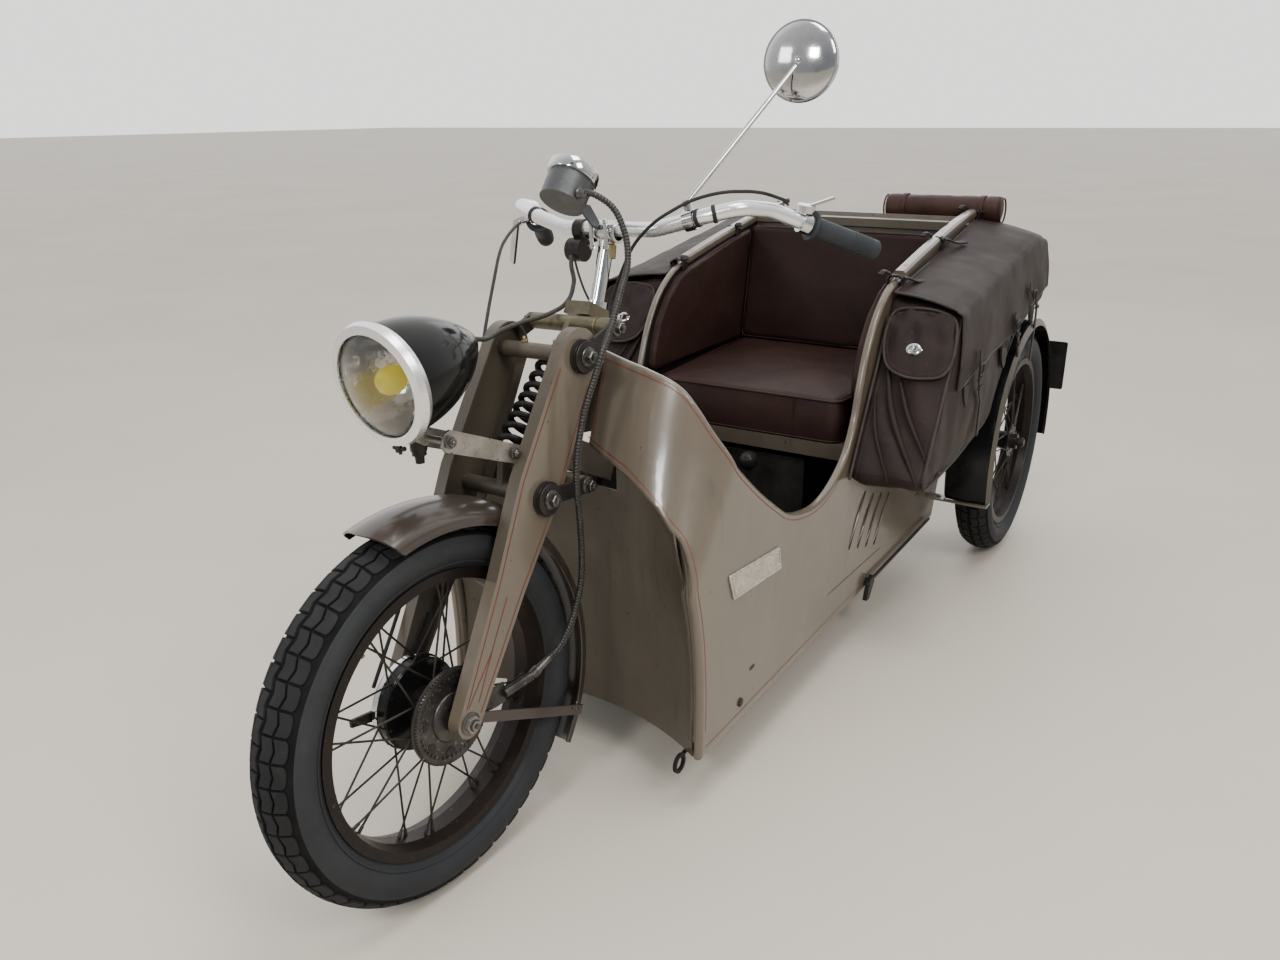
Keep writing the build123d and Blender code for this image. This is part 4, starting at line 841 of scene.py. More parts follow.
def make_tyre(name, c, ax, body):
    at = wheel_frame(c, ax)
    half = [(295.6, 0), (294.9, 9), (292.4, 19), (287.6, 29), (281.0, 37), (275.5, 41.6),
            (271, 43.6), (266.5, 44.3), (265.5, 45.0), (256, 46.0), (247, 44.2), (240, 40.4),
            (237.4, 38.6), (236.2, 40.2), (234.6, 40.0), (233.0, 37.0), (229.5, 33.0),
            (227.0, 31.0), (214.0, 29.0)]
    prof = [(r, -y) for r, y in reversed(half[1:])] + half
    steps = 200
    verts, faces, m = [], [], len(prof)
    for k in range(steps):
        phi = 2 * math.pi * k / steps
        for r, y in prof:
            verts.append(at(phi, r, y))
    for k in range(steps):
        j = (k + 1) % steps
        for i in range(m):
            a, b = k * m + i, k * m + (i + 1) % m
            faces.append((a, b, j * m + (i + 1) % m, j * m + i))
    # the crown's faces between the tread blocks are near black: painted shade in the grooves
    deep = [1 if prof[i][0] > 272 and prof[(i + 1) % m][0] > 272 else 0 for i in range(m)] * steps
    add(f"{name.replace('_', '-')}-carcass", verts, faces, "tyre", body, "tyre", f"{name}_tyre", angle=60,
        mats=["tyre", "groove_shade"], face_mats=deep)
    # tread blocks: rows across the crown, staggered by half a pitch
    count, gap = 52, 0.115
    verts, faces = [], []
    rows = [(1.6, 18.6, 4.6, 4.6, 0.0, False), (21.8, 42.6, 4.6, 0.0, 0.0, True)]
    for sign in (1, -1):
        for v0, v1, z0, z1, stag, scallop in rows:
            for k in range(count):
                off = stag + (0.5 if sign < 0 else 0.0)
                a0, a1 = k + off + gap / 2, k + 1 + off - gap / 2
                mid = (a0 + a1) / 2
                if scallop:
                    outer = [(a1, v1 - 4.5), (a1 - 0.10, v1 - 1.4), (mid + 0.16, v1), (mid - 0.16, v1),
                             (a0 + 0.10, v1 - 1.4), (a0, v1 - 4.5)]
                    inner = [(a0, v0), (mid, v0 + z0), (a1, v0)]
                else:
                    outer = [(a1, v1), (mid, v1 + z1), (a0, v1)]
                    inner = [(a0, v0), (mid, v0 + z0), (a1, v0)]
                poly = [(u * 2 * math.pi / count * 300, v) for u, v in inner + outer]
                shrunk = inset_path(poly if area2(poly) > 0 else poly[::-1], 0.9)
                poly = poly if area2(poly) > 0 else poly[::-1]
                base = len(verts)
                n = len(poly)
                for ring, h in ((poly, -6.0), (poly, -0.9), (shrunk, -0.05)):
                    for s, v in ring:
                        r, y = crown(v, h)
                        verts.append(at(s / 300, r, y * sign))
                for lv in range(2):
                    for i in range(n):
                        j = (i + 1) % n
                        faces.append((base + lv * n + i, base + lv * n + j,
                                      base + (lv + 1) * n + j, base + (lv + 1) * n + i))
                faces.append(tuple(base + 2 * n + i for i in range(n)))
    add(f"{name.replace('_', '-')}-tread", verts, faces, "tread", body, "tyre", angle=30)
    # valve
    vp = at(0.9, 214, 0)
    vd = unit(c - vp)
    add(f"{name.replace('_', '-')}-valve", *join([
        revolve_data([(0, 0.2), (0, 4.2), (8, 4.0), (9, 2.8), (22, 2.8), (22, 3.6), (30, 3.6), (31, 0.2)],
                     vp + vd * 8, vd, 14)]), "brass", body)


def make_spoke_ends(name, c, ax, body, flanges, flip):
    at = wheel_frame(c, ax)
    parts = []
    for radius, y in flanges:
        for k in range(16):
            turn = 360.0 * k / 16 + (0 if y > 0 else 180.0 / 16)
            lean = 58.0 if k % 2 else -58.0
            dy = 2.2 if k % 2 else -2.2
            a0, a1 = math.radians(turn), math.radians(turn + lean * 0.62)
            p0 = at(a0, radius, (y + dy) * flip)
            p1 = at(a1, 207, 0.3 * y * flip)
            d = unit(p0 - p1)
            parts.append(revolve_data([(-3, 0.2), (-3, 3.9), (2, 3.7), (2.5, 2.9), (15, 2.6), (16, 1.8),
                                       (16, 0.2)], p1, d, 8))
            parts.append(revolve_data([(0, 0.2), (0, 3.0), (1.6, 2.6), (2.2, 0.2)],
                                      p0 + ax * (flip * (2.6 if dy > 0 else -2.6) - 1.1 * flip * (1 if dy > 0 else -1)),
                                      ax * flip * (1 if dy > 0 else -1), 8))
    add(f"{name.replace('_', '-')}-nipples", *join(parts), "dark_steel", body, "dark_steel")


def make_wheels():
    for name, c, ax, body, outer in WHEELS:
        make_tyre(name, c, ax, body)
        flip = -1 if name == "rear_right" else 1
        make_spoke_ends(name, c, ax, body, [(47, 26), (66, -24)] if name == "front" else [(42, 26), (66, -26)],
                        flip)
        dress(f"{name}_rim", "rim_paint")
        if name == "front":
            dress("front_hub", "dark_steel")
        else:
            dress(f"{name}_hub", "dark_steel")
    # front hub: black drum with a polished band, and the toothed plate on the left
    at = wheel_frame(FRONT_C, FRONT_AX)
    add("front-drum", *revolve_data([(-45.5, 60.0), (-46.8, 73.2), (-44, 74.6), (-36, 74.6), (-35, 73.2), (-33, 73.0),
                                     (-22, 73.0), (-19.4, 70), (-19.0, 58)], FRONT_C, FRONT_AX, 72),
        "black_gloss", "front_wheel", "black_paint")
    add("front-drum-band", *revolve_data([(-45.2, 74.4), (-44.8, 75.6), (-36.8, 75.6), (-36.2, 74.4)],
                                         FRONT_C, FRONT_AX, 72, closed_profile=True),
        "chrome", "front_wheel", "steel")
    # toothed ring with slots
    verts, faces = [], []
    teeth = 88
    rings = []
    for y, scale in ((46.2, 1.0), (47.6, 0.992), (47.6, 0.905), (47.2, 0.86)):
        ring = []
        for k in range(teeth * 4):
            a = 2 * math.pi * k / (teeth * 4)
            tooth = (0, 1, 1, 0)[k % 4] if scale > 0.9 else 0.5
            r = (72.4 + 3.4 * tooth) * scale
            ring.append(at(a + (0.006 if k % 4 == 2 else 0), r, y))
        rings.append(ring)
    inner = [at(2 * math.pi * k / (teeth * 4), 40, 46.8) for k in range(teeth * 4)]
    rings.append(inner)
    m = teeth * 4
    for ring in rings:
        verts.extend(ring)
    for lv in range(len(rings) - 1):
        for k in range(m):
            j = (k + 1) % m
            faces.append((lv * m + k, lv * m + j, (lv + 1) * m + j, (lv + 1) * m + k))
    parts = [(verts, faces)]
    for k in range(44):                       # ratchet pips round the plate
        a = 2 * math.pi * k / 44
        p = at(a, 63.5, 47.4)
        parts.append(hex_data(p, FRONT_AX, 4.4, 1.8, a))
    add("front-toothed-ring", *join(parts), "worn_steel", "front_wheel", "steel", angle=28)
    # dark pieces in the plate's slots: painted shade in its openings
    parts = []
    for k in range(8):
        a = 2 * math.pi * k / 8 + 0.2
        ring = []
        for da, dr in ((-0.17, 1), (-0.13, 6), (0.13, 6), (0.17, 1), (0.04, -6), (-0.04, -6)):
            ring.append(at(a + da, 54 + dr, 48.1))
        back = [p - FRONT_AX * 1.2 for p in ring]
        n = len(ring)
        parts.append((ring + back, [tuple(range(n)), tuple(range(n, 2 * n))[::-1]]
                      + [(i, (i + 1) % n, n + (i + 1) % n, n + i) for i in range(n)]))
    parts.append(revolve_data([(47.0, 20.2), (50.2, 21), (50.2, 34), (48.6, 38), (46.6, 39)],
                              FRONT_C, FRONT_AX, 48))
    add("front-plate-slot-shadows", *join(parts[:-1]), "bakelite", "front_wheel", "dark_steel", smooth=False)
    add("front-hub-cap", *parts[-1], "worn_steel", "front_wheel", "steel")


make_wheels()

# ------------------------------------------------------------------ painted and metal nodes
for node, width, mats, slot, body in (
        # front sheet, steering head and seat frame take the body paint in painted shade
        ("front_arch_panel", 1.2, ["paint_dark"], "body_paint", "body"),
        ("steering_head", 2.0, ["paint_dark"], "body_paint", "body"),
        ("rear_mudguard_stays", 0.8, ["paint"], "body_paint", "body"),
        ("fork_links", 1.0, ["dark_steel"], "dark_steel", "fork"),
        ("headlamp_bracket", 1.0, ["steel"], "steel", "fork"),
        ("handlebar_levers", 1.5, ["chrome"], "chrome", "fork"),
        ("front_brake_plate", 1.2, ["black_paint"], "black_paint", "fork"),
        ("front_mudguard_stays", 0.9, ["guard_paint"], "guard_paint", "fork"),
        ("front_axle", 1.0, ["steel"], "steel", "fork"),
        ("rear_axle", 1.5, ["dark_steel"], "steel", "body"),
        ("rear_springs", 0.8, ["dark_steel"], "dark_steel", "body"),
        ("chassis_frame", 2.0, ["frame_paint"], "frame_paint", "body"),
        ("engine_block", 8.0, ["cast"], "cast", "body"),
        ("floor_pan", 0.8, ["interior"], "floor", "body"),
        ("rear_panel", 1.0, ["paint"], "body_paint", "body"),
        ("seat_frame", 2.0, ["paint_dark"], "body_paint", "body"),
        ("gear_lever", 2.0, ["bakelite"], "black_plastic", "body"),
        ("dip_switch", 3.0, ["bakelite"], "black_plastic", "fork"),
        ("handlebar_stem", 1.2, ["chrome"], "chrome", "fork"),
        ("speedometer_drive", 1.2, ["worn_steel"], "steel", "fork"),
        ("sill_brake_rod", 1.0, ["black_paint"], "dark_steel", "body"),
        ("tail_lamp", 4.0, ["red_lens"], "red_lens", "body")):
    soften(node, width, mats, body, slot, extra=follow_cowl if node == "front_arch_panel" else None)

# the blades' inner faces, and the narrow faces of their upper part, take the body paint in painted shade
soften("fork_blades", 1.6, ["paint", "paint_dark"], "fork", "body_paint",
       pick=lambda c, n: 1 if abs(n[1]) < 0.75 and c[2] > 560 or n[1] * (c[1] + 20) < 0 and abs(n[1]) > 0.8 else 0)
dress("handlebar", "silver")
dress("headlamp_shell", "black_gloss")
dress("headlamp_rim", "silver")
dress("headlamp_lens", "glass")
dress("front_brake_cable", "rubber_black")
dress("control_cable", "rubber_black")
dress("lamp_wiring", "braid")
dress("switch_wire", "rubber_black")
soften("steering_stem", 1.4, ["olive"], "fork", "brass")
soften("speedometer", 2.5, ["meter_grey"], "fork", "chrome")
soften("handlebar_grips", 2.0, ["grip"], "fork", "grip_rubber")
soften("mirror", 1.5, ["chrome"], "fork", "mirror_back")
soften("number_plate", 1.2, ["plate_black"], "body", "plate")
# crown and inside black gloss; the outer skirts take the body paint in painted shade
soften("rear_mudguards", 0.8, ["black_gloss", "paint_dark"], "body", "guard_paint",
       pick=lambda c, n: 1 if abs(n[1]) > 0.7 and abs(c[1]) > 432 else 0)

# ------------------------------------------------------------------ soft goods: helpers
def rumple(ob, waves, hold=None):
    """Soft folds: points move along their normals by smooth noise.
    waves: (amplitude, wavelengths along X, Y and Z, seed), in mm."""
    me = ob.data
    normals = [v.normal.copy() for v in me.vertices]
    for v, n in zip(me.vertices, normals):
        c = v.co / MM
        d = 0.0
        for amp, wl, seed in waves:
            d += amp * noise.noise(Vector((c.x / wl[0] + seed, c.y / wl[1] + 1.7 * seed, c.z / wl[2] - seed)))
        v.co = v.co + n * (d * (hold(c) if hold else 1.0) * MM)
    me.update()


def round_path(points, radii, seg=5):
    """Closed polygon with its corners rounded."""
    P = [np.asarray(p, float) for p in points]
    n, out = len(P), []
    for i in range(n):
        a, b, c = P[i - 1], P[i], P[(i + 1) % n]
        u, v = unit(a - b), unit(c - b)
        r = radii if np.isscalar(radii) else radii[i]
        ang = math.acos(float(np.clip(np.dot(u, v), -1, 1)))
        if r <= 0 or ang > math.pi - 0.06:
            out.append(b)
            continue
        t = min(r / math.tan(ang / 2), 0.45 * np.linalg.norm(a - b), 0.45 * np.linalg.norm(c - b))
        centre = b + unit(u + v) * (t / math.cos(ang / 2))
        s, e = b + u * t - centre, b + v * t - centre
        om = math.acos(float(np.clip(np.dot(unit(s), unit(e)), -1, 1)))
        for k in range(seg + 1):
            w = k / seg
            out.append(centre + (math.sin((1 - w) * om) * s + math.sin(w * om) * e) / math.sin(om))
    return out


def spaced(path, step, closed=True):
    """The path with extra points on its long runs."""
    out, n = [], len(path)
    for i in range(n if closed else n - 1):
        a, b = np.asarray(path[i], float), np.asarray(path[(i + 1) % n], float)
        k = max(1, int(round(np.linalg.norm(b - a) / step)))
        out += [a + (b - a) * j / k for j in range(k)]
    if not closed:
        out.append(np.asarray(path[-1], float))
    return out


def grid_sheet(rows, thick, closed_rows=False):
    """A sheet with real thickness from rows of points, thickened along its own normals."""
    R = np.array(rows, float)
    a, b = R.shape[:2]
    du = np.gradient(R, axis=0)
    dv = np.gradient(R, axis=1)
    N = np.cross(du, dv)
    N /= np.maximum(np.linalg.norm(N, axis=2, keepdims=True), 1e-9)
    top, low = R + N * thick / 2, R - N * thick / 2
    verts = list(top.reshape(-1, 3)) + list(low.reshape(-1, 3))
    off, faces = a * b, []
    for i in range(a - 1):
        for j in range(b - 1):
            q = (i * b + j, i * b + j + 1, (i + 1) * b + j + 1, (i + 1) * b + j)
            faces += [q, tuple(off + k for k in reversed(q))]
    edge = ([(i, 0) for i in range(a)] + [(a - 1, j) for j in range(1, b)]
            + [(i, b - 1) for i in range(a - 2, -1, -1)] + [(0, j) for j in range(b - 2, 0, -1)])
    for (i0, j0), (i1, j1) in zip(edge, edge[1:] + edge[:1]):
        p, q = i0 * b + j0, i1 * b + j1
        faces.append((q, p, off + p, off + q))
    area = float(np.linalg.norm(np.cross(R[1:, :-1] - R[:-1, :-1], R[:-1, 1:] - R[:-1, :-1]), axis=2).sum() / 2
                 + np.linalg.norm(np.cross(R[1:, 1:] - R[1:, :-1], R[1:, 1:] - R[:-1, 1:]), axis=2).sum() / 2)
    length = max(float(np.linalg.norm(np.diff(R[:, j], axis=0), axis=1).sum()) for j in range(b))
    width = max(float(np.linalg.norm(np.diff(R[i], axis=0), axis=1).sum()) for i in range(a))
    edge_pts = [R[i, j] for i, j in edge]
    return verts, faces, (width * MM, length * MM), area * MM * MM, edge_pts


def strap_data(path, width, thick, out):
    """A leather strap along a path; out gives the direction its flat side faces."""
    P = [np.asarray(p, float) for p in path]
    n = len(P)
    sec = [(-0.5, 0.30), (-0.42, 0.5), (0.42, 0.5), (0.5, 0.30), (0.5, -0.30), (0.42, -0.5), (-0.42, -0.5),
           (-0.5, -0.30)]
    verts, faces = [], []
    for i in range(n):
        t = unit(P[min(i + 1, n - 1)] - P[max(i - 1, 0)])
        o = np.asarray(out[i] if isinstance(out, list) else out, float)
        o = unit(o - t * np.dot(o, t))
        s = np.cross(t, o)
        for a, b in sec:
            verts.append(P[i] + s * a * width + o * b * thick)
    for i in range(n - 1):
        for k in range(8):
            j = (k + 1) % 8
            faces.append((i * 8 + k, i * 8 + j, (i + 1) * 8 + j, (i + 1) * 8 + k))
    faces += [tuple(range(8))[::-1], tuple((n - 1) * 8 + k for k in range(8))]
    return verts, faces


def stitch_data(path, pitch=6.0, run=3.6, r=0.45):
    """Thread stitches along a path."""
    P = [np.asarray(p, float) for p in path]
    cum = [0.0]
    for a, b in zip(P, P[1:]):
        cum.append(cum[-1] + float(np.linalg.norm(b - a)))
    total, parts, s = cum[-1], [], 0.5
    cum = np.array(cum)
    A = np.array(P)

    def at(d):
        return np.array([np.interp(d, cum, A[:, k]) for k in range(3)])
    while s + run < total:
        a, b = at(s), at(s + run)
        if np.linalg.norm(b - a) > 0.5:
            parts.append(tube_data([a, (a + b) / 2, b], [r * 0.6, r, r * 0.6], 4))
        s += pitch
    return join(parts)


# ------------------------------------------------------------------ bags
BAG_T = 159.0
BAG_LINE = [(-210, 742), (-15, 415), (-275, 425), (-500, 450), (-560, 500), (-620, 560),
            (-700, 615), (-780, 645), (-975, 668), (-1000, 705), (-890, 836)]
BAG_ROUND = [18, 22, 120, 30, 0, 0, 0, 60, 24, 30, 26]
BAG_LOW = [(-1000, 690), (-975, 668), (-780, 645), (-700, 615), (-620, 560), (-560, 500),
           (-500, 450), (-275, 425), (-15, 415)]


def bag_point(sign, p, z, dep):
    """Point of a bag from its outline's (X, Z) and the depth in from the outer face."""
    t = dep / BAG_T
    f = (-210 - p) / 680.0
    top = 742 + f * 94
    low = float(np.interp(p, [q[0] for q in BAG_LOW], [q[1] for q in BAG_LOW]))
    u = min(1.0, max(0.0, (z - low) / max(top - low, 1.0)))
    return vec(p + (-22 + 56 * f) * t * u, sign * (435 - dep), z + (26 + 6 * f) * t * u)


def front_face(sign, y, z, lift):
    """Point on the bag's slanted front face, lifted off it."""
    t = (435 - abs(y)) / BAG_T
    x = -15 + (z - 415 - 20 * t * (z - 415) / 340.0) * -0.609
    return vec(x + lift * 0.854, sign * y, z + lift * 0.52)


def make_bag(sign):
    side_name = "left" if sign > 0 else "right"
    seed = 3.1 if sign > 0 else 8.7
    outline = spaced(round_path(BAG_LINE, BAG_ROUND), 15)
    body = plate(f"{side_name}-bag", outline, BAG_T, 9.0, 7.0, lambda p, z, d: bag_point(sign, p, z, d),
                 ["bag_leather"], "body", "bag_leather", "panniers",
                 [(1.0, 0.0, list(range(-990, -20, 15))), (0.0, 1.0, list(range(425, 850, 15)))],
                 crown=5.0, crown_width=45.0, angle=62.0, walls=9, bulge=4.0)

    def away_from_panel(c):
        return min(1.0, max(0.0, (abs(c.y) - 281) / 25.0))
    rumple(body, [(7.0, (150, 120, 210), seed), (4.0, (60, 55, 170), seed + 4), (1.6, (30, 40, 60), seed + 9),
                  (5.0, (400, 34, 190), seed + 6)], away_from_panel)
    # slack folds that run down and outwards over the slanted front
    for v in body.data.vertices:
        c = v.co / MM
        f = front_face(sign, abs(c.y), c.z, 0.0)
        if abs(c.x - f[0]) < 16 and c.z < 640:
            across, down = (abs(c.y) - 283) / 160.0, (640 - c.z) / 215.0
            w = math.sin(math.pi * min(1.0, max(0.0, across))) * math.sin(math.pi * min(1.0, max(0.0, down))) ** 0.6
            fold = 0.9 - 2.0 * abs(math.sin(math.pi * (across * 1.7 - down * 1.1 + 0.12 * math.sin(5 * down) + 0.1 * sign))) ** 0.7
            v.co = v.co + Vector((0.854, 0.0, 0.52)) * (8.0 * w * fold * MM)
    body.data.update()

    # flap: over the top and down the outer face
    low = smooth([(-186, 598), (-276, 612), (-389, 626), (-606, 640), (-760, 664), (-890, 698), (-966, 706)], 8)
    n = len(low)
    rows = []
    for i, (lx, lz) in enumerate(low):
        s = i / (n - 1)
        inner = vec(-226 - 620 * s, 283, 783 + 100 * s)
        outer = vec(-194 - 700 * s, 441, 757 + 97 * s)
        if s > 0.9:                                  # the rear end turns down
            k = (s - 0.9) / 0.1
            outer = outer + vec(-42, 0, -26) * k ** 2
            inner = inner + vec(-14, 0, -6) * k ** 2
        sag = 3.0 * math.sin(math.pi * s) + 1.5 * math.sin(9.3 * s + seed)
        pts = []
        for k in range(9):
            w = k / 9
            q = inner + (outer - inner) * w
            pts.append(q + vec(0, 0, 6.0 * math.sin(math.pi * w) - 0.6 * sag))
        for k in range(5):                           # round the corner
            a = math.pi / 2 * (k + 0.5) / 5
            pts.append(outer + vec(0, -12 + 12 * math.sin(a), -12 + 12 * math.cos(a)))
        end = vec(lx, 447, lz)
        start = outer + vec(0, 0, -14)
        for k in range(1, 11):
            w = k / 10
            q = start + (end - start) * w
            wave = 2.6 * math.sin(lx / 47.0 + seed) * w + 1.6 * math.sin(lx / 21.0) * w * w
            pts.append(q + vec(0, 2.6 * math.sin(math.pi * w) + wave, 0))
        rows.append([q * vec(1, sign, 1) for q in pts])
    verts, faces, flat, area, border = grid_sheet(rows, 3.2)
    flap = add(f"{side_name}-bag-flap", verts, faces, "bag_leather", "body", "bag_leather", "panniers", angle=50)
    rumple(flap, [(2.2, (90, 80, 80), seed + 2), (1.2, (36, 36, 36), seed + 5)])
    FLATS.append((f"{side_name}-bag-flap", flat, area))
    edge = tube_data(border, 3.0, 8, closed=True)
    add(f"{side_name}-flap-binding", *edge, "bag_edge", "body", "bag_leather")
    grid = np.array(rows)
    inset = [grid[1][k] for k in range(1, grid.shape[1] - 1)] + [grid[k][-2] for k in range(1, n - 1)] \
        + [grid[n - 2][k] for k in range(grid.shape[1] - 2, 0, -1)]
    lifted = [q + vec(0, sign * 2.2, 0) if abs(q[1]) > 430 else q + vec(0, 0, 2.2) for q in inset]
    add(f"{side_name}-flap-stitches", *stitch_data(lifted), "thread", "body", "bag_leather", smooth=False)

    # piping round the outer face and up the front's inner edge
    ring = [bag_point(sign, q[0], q[1], 3.0) for q in inset_path(outline if area2(outline) > 0 else outline[::-1], 1.0)]
    inner_edge = [front_face(sign, 283, z, 2.0) for z in np.linspace(424, 735, 16)]
    add(f"{side_name}-bag-piping", *join([tube_data(ring, 3.4, 8, closed=True), tube_data(inner_edge, 3.4, 8)]),
        "bag_edge", "body", "bag_leather")
    seam_in = [front_face(sign, 295, z, 4.0) for z in np.linspace(430, 620, 24)]
    seam_out = [front_face(sign, 423, z, 4.0) for z in np.linspace(430, 620, 24)]
    add(f"{side_name}-bag-stitches", *join([stitch_data(seam_in), stitch_data(seam_out)]), "thread", "body",
        "bag_leather", smooth=False)
    creases = []
    for a, b, c, w in (((300, 655), (338, 555), (420, 436), 6.5), ((334, 625), (368, 560), (428, 480), 5.0),
                       ((292, 590), (312, 520), (362, 432), 4.0)):
        path = smooth([a, b, c], 9)
        m = len(path) - 1
        creases.append(tube_data([front_face(sign, y, z, 1.5) for y, z in path],
                                 [max(0.6, w * math.sin(math.pi * (0.06 + 0.88 * k / m)) ** 0.7)
                                  for k in range(m + 1)], 10))
    add(f"{side_name}-bag-creases", *join(creases), "bag_leather", "body", "bag_leather", angle=80)

    # front pocket's flap with its turn lock
    pocket = smooth([(298, 744), (340, 752), (392, 748), (424, 734), (434, 700), (436, 660), (424, 632), (384, 622),
                     (340, 624), (306, 640), (290, 676), (288, 716)], 4, closed=True)
    pk = plate(f"{side_name}-pocket-flap", pocket, 9.0, 4.0, 2.0,
               lambda p, z, d: front_face(sign, p, z, 15.0 - d), ["bag_leather"], "body", "bag_leather",
               "panniers", [(1.0, 0.0, list(range(296, 436, 8))), (0.0, 1.0, list(range(630, 752, 8)))],
               crown=5.0, crown_width=22.0, angle=60.0)
    rumple(pk, [(9.0, (70, 26, 44), seed + 1.5), (6.0, (34, 15, 26), seed + 7)],
           lambda c: min(1.0, max(0.15, (c.z - 640) / 70.0)))
    line = [front_face(sign, q[0], q[1], 13.5) for q in inset_path(
        pocket if area2(pocket) > 0 else pocket[::-1], 0.5)]
    inner = [front_face(sign, q[0], q[1], 16.5) for q in inset_path(
        pocket if area2(pocket) > 0 else pocket[::-1], 9.0)]
    add(f"{side_name}-pocket-binding", *tube_data(line, 3.0, 8, closed=True), "bag_edge", "body", "bag_leather")
    add(f"{side_name}-pocket-stitches", *stitch_data(inner + inner[:1]), "thread", "body", "bag_leather",
        smooth=False)
    c = front_face(sign, 356, 673, 17.0)
    nrm = vec(0.854, 0, 0.52)
    up = vec(-0.52, 0, 0.854)
    lock = []
    for a0, b0, h in ((17, 12.5, 0), (17, 12.5, 3.2), (14.5, 10.2, 4.6), (10.5, 7.0, 4.8), (9.0, 5.8, 3.4)):
        lock.append([c + nrm * h + vec(0, 1, 0) * sign * a0 * math.cos(t) + up * b0 * math.sin(t)
                     for t in np.linspace(0, 2 * math.pi, 28, endpoint=False)])
    lv = [q for ring_ in lock for q in ring_]
    lf = [(i * 28 + k, i * 28 + (k + 1) % 28, (i + 1) * 28 + (k + 1) % 28, (i + 1) * 28 + k)
          for i in range(4) for k in range(28)] + [tuple(range(28)), tuple(range(112, 140))]
    toggle = tube_data([c + nrm * 7 - up * 5.5, c + nrm * 8.2, c + nrm * 7 + up * 5.5], [3.2, 2.4, 3.2], 8)
    add(f"{side_name}-pocket-lock", *join([(lv, lf), toggle]), "chrome", "body", "chrome")

    # three straps over the flap's edge with buckles and dark reinforcing patches
    straps = [([(-305, 662), (-303, 628), (-302, 601), (-322, 566), (-349, 541), (-360, 500), (-365, 455)],
               (-250, 574)),
              ([(-596, 690), (-622, 655), (-655, 610), (-690, 580), (-730, 553)], (-561, 596)),
              ([(-724, 738), (-766, 712), (-808, 692), (-836, 640), (-850, 580), (-854, 528)], (-822, 652))]
    leather, metal, patch = [], [], []
    for pts, at in straps:
        path = smooth(pts, 5)
        m = len(path)
        run = []
        for i, (x, z) in enumerate(path):
            w = i / (m - 1)
            run.append(vec(x, sign * (455.0 - 5.0 * max(0.0, w - 0.45) + 3.0 * math.sin(5 * w)), z))
        leather.append(strap_data(run, 17, 3.0, vec(0, sign, 0)))
        k = int(m * 0.35)
        for j in (k, k + 3):
            leather.append(strap_data([run[j] + vec(-13, -1.5 * sign, 0), run[j] + vec(-11, 3.4 * sign, 0),
                                       run[j] + vec(11, 3.4 * sign, 0), run[j] + vec(13, -1.5 * sign, 0)], 7, 2.2,
                                      [vec(-1, 0, 0.1), vec(-0.4, sign, 0.1), vec(0.4, sign, 0.1), vec(1, 0, 0.1)]))
        q = run[int(m * 0.22)]
        box = round_path([(-15, -11), (15, -11), (15, 11), (-15, 11)], 4, 3)
        metal.append(tube_data([q + vec(a, sign * 3.5, b) for a, b in box], 1.7, 8, closed=True))
        metal.append(tube_data([q + vec(0, sign * 5.6, 11), q + vec(0, sign * 6.2, 0), q + vec(0, sign * 4.6, -11)],
                               1.3, 6))
        pa = round_path([(-26, 17), (30, 27), (18, -4), (-2, -30), (-20, -24)], 5, 3)
        ring_ = [vec(at[0] + a, sign * 447.5, at[1] + b) for a, b in pa]
        back = [p - vec(0, sign * 5, 0) for p in ring_]
        m2 = len(pa)
        patch.append((ring_ + back, [tuple(range(m2)), tuple(range(m2, 2 * m2))[::-1]]
                      + [(i, (i + 1) % m2, m2 + (i + 1) % m2, m2 + i) for i in range(m2)]))
    add(f"{side_name}-bag-straps", *join(leather), "strap_leather", "body", "bag_leather")
    add(f"{side_name}-bag-buckles", *join(metal), "dark_steel", "body", "dark_steel")
    add(f"{side_name}-bag-patches", *join(patch), "strap_leather", "body", "bag_leather")

    # leather loops over the armrest's rail
    loops = []
    for x, tail in ((-268, 62), (-548, 66), (-846, 40)):
        top = float(np.interp(-x, [254, 475, 708, 840], [800, 843, 880, 893]))
        path = round_path([(283, top - 30), (283, top + 9), (252, top + 9), (252, top - 24)], 6, 4)
        k = len(path)
        run = [vec(x + 4 * math.sin(i), sign * q[0], q[1]) for i, q in enumerate(path)]
        run = run[:-6] if x < -800 else run
        out = [vec(0, sign * (q[0] - 267), (q[1] - top + 12) * 0.8) for q in path][:len(run)]
        loops.append(strap_data(run, 18, 4.2, out))
        end = [vec(x - 2, sign * 284, top + 6), vec(x - 12, sign * 292, top + 4), vec(x - 30, sign * 304, top - 4),
               vec(x - tail, sign * 318, top - 6)]
        end = smooth(end, 4)
        loops.append(strap_data(end, 15, 4.2, vec(0, 0.25 * sign, 1)))
        ear = smooth([vec(x + 3, sign * 256, top + 13), vec(x + 12, sign * 246, top + 19),
                      vec(x + 22, sign * 240, top + 12)], 3)
        loops.append(strap_data(ear, 14, 4.2, vec(0.2, 0, 1)))
    add(f"{side_name}-rail-loops", *join(loops), "strap_leather", "body", "bag_leather")


FLATS = []
for sign in (1, -1):
    make_bag(sign)


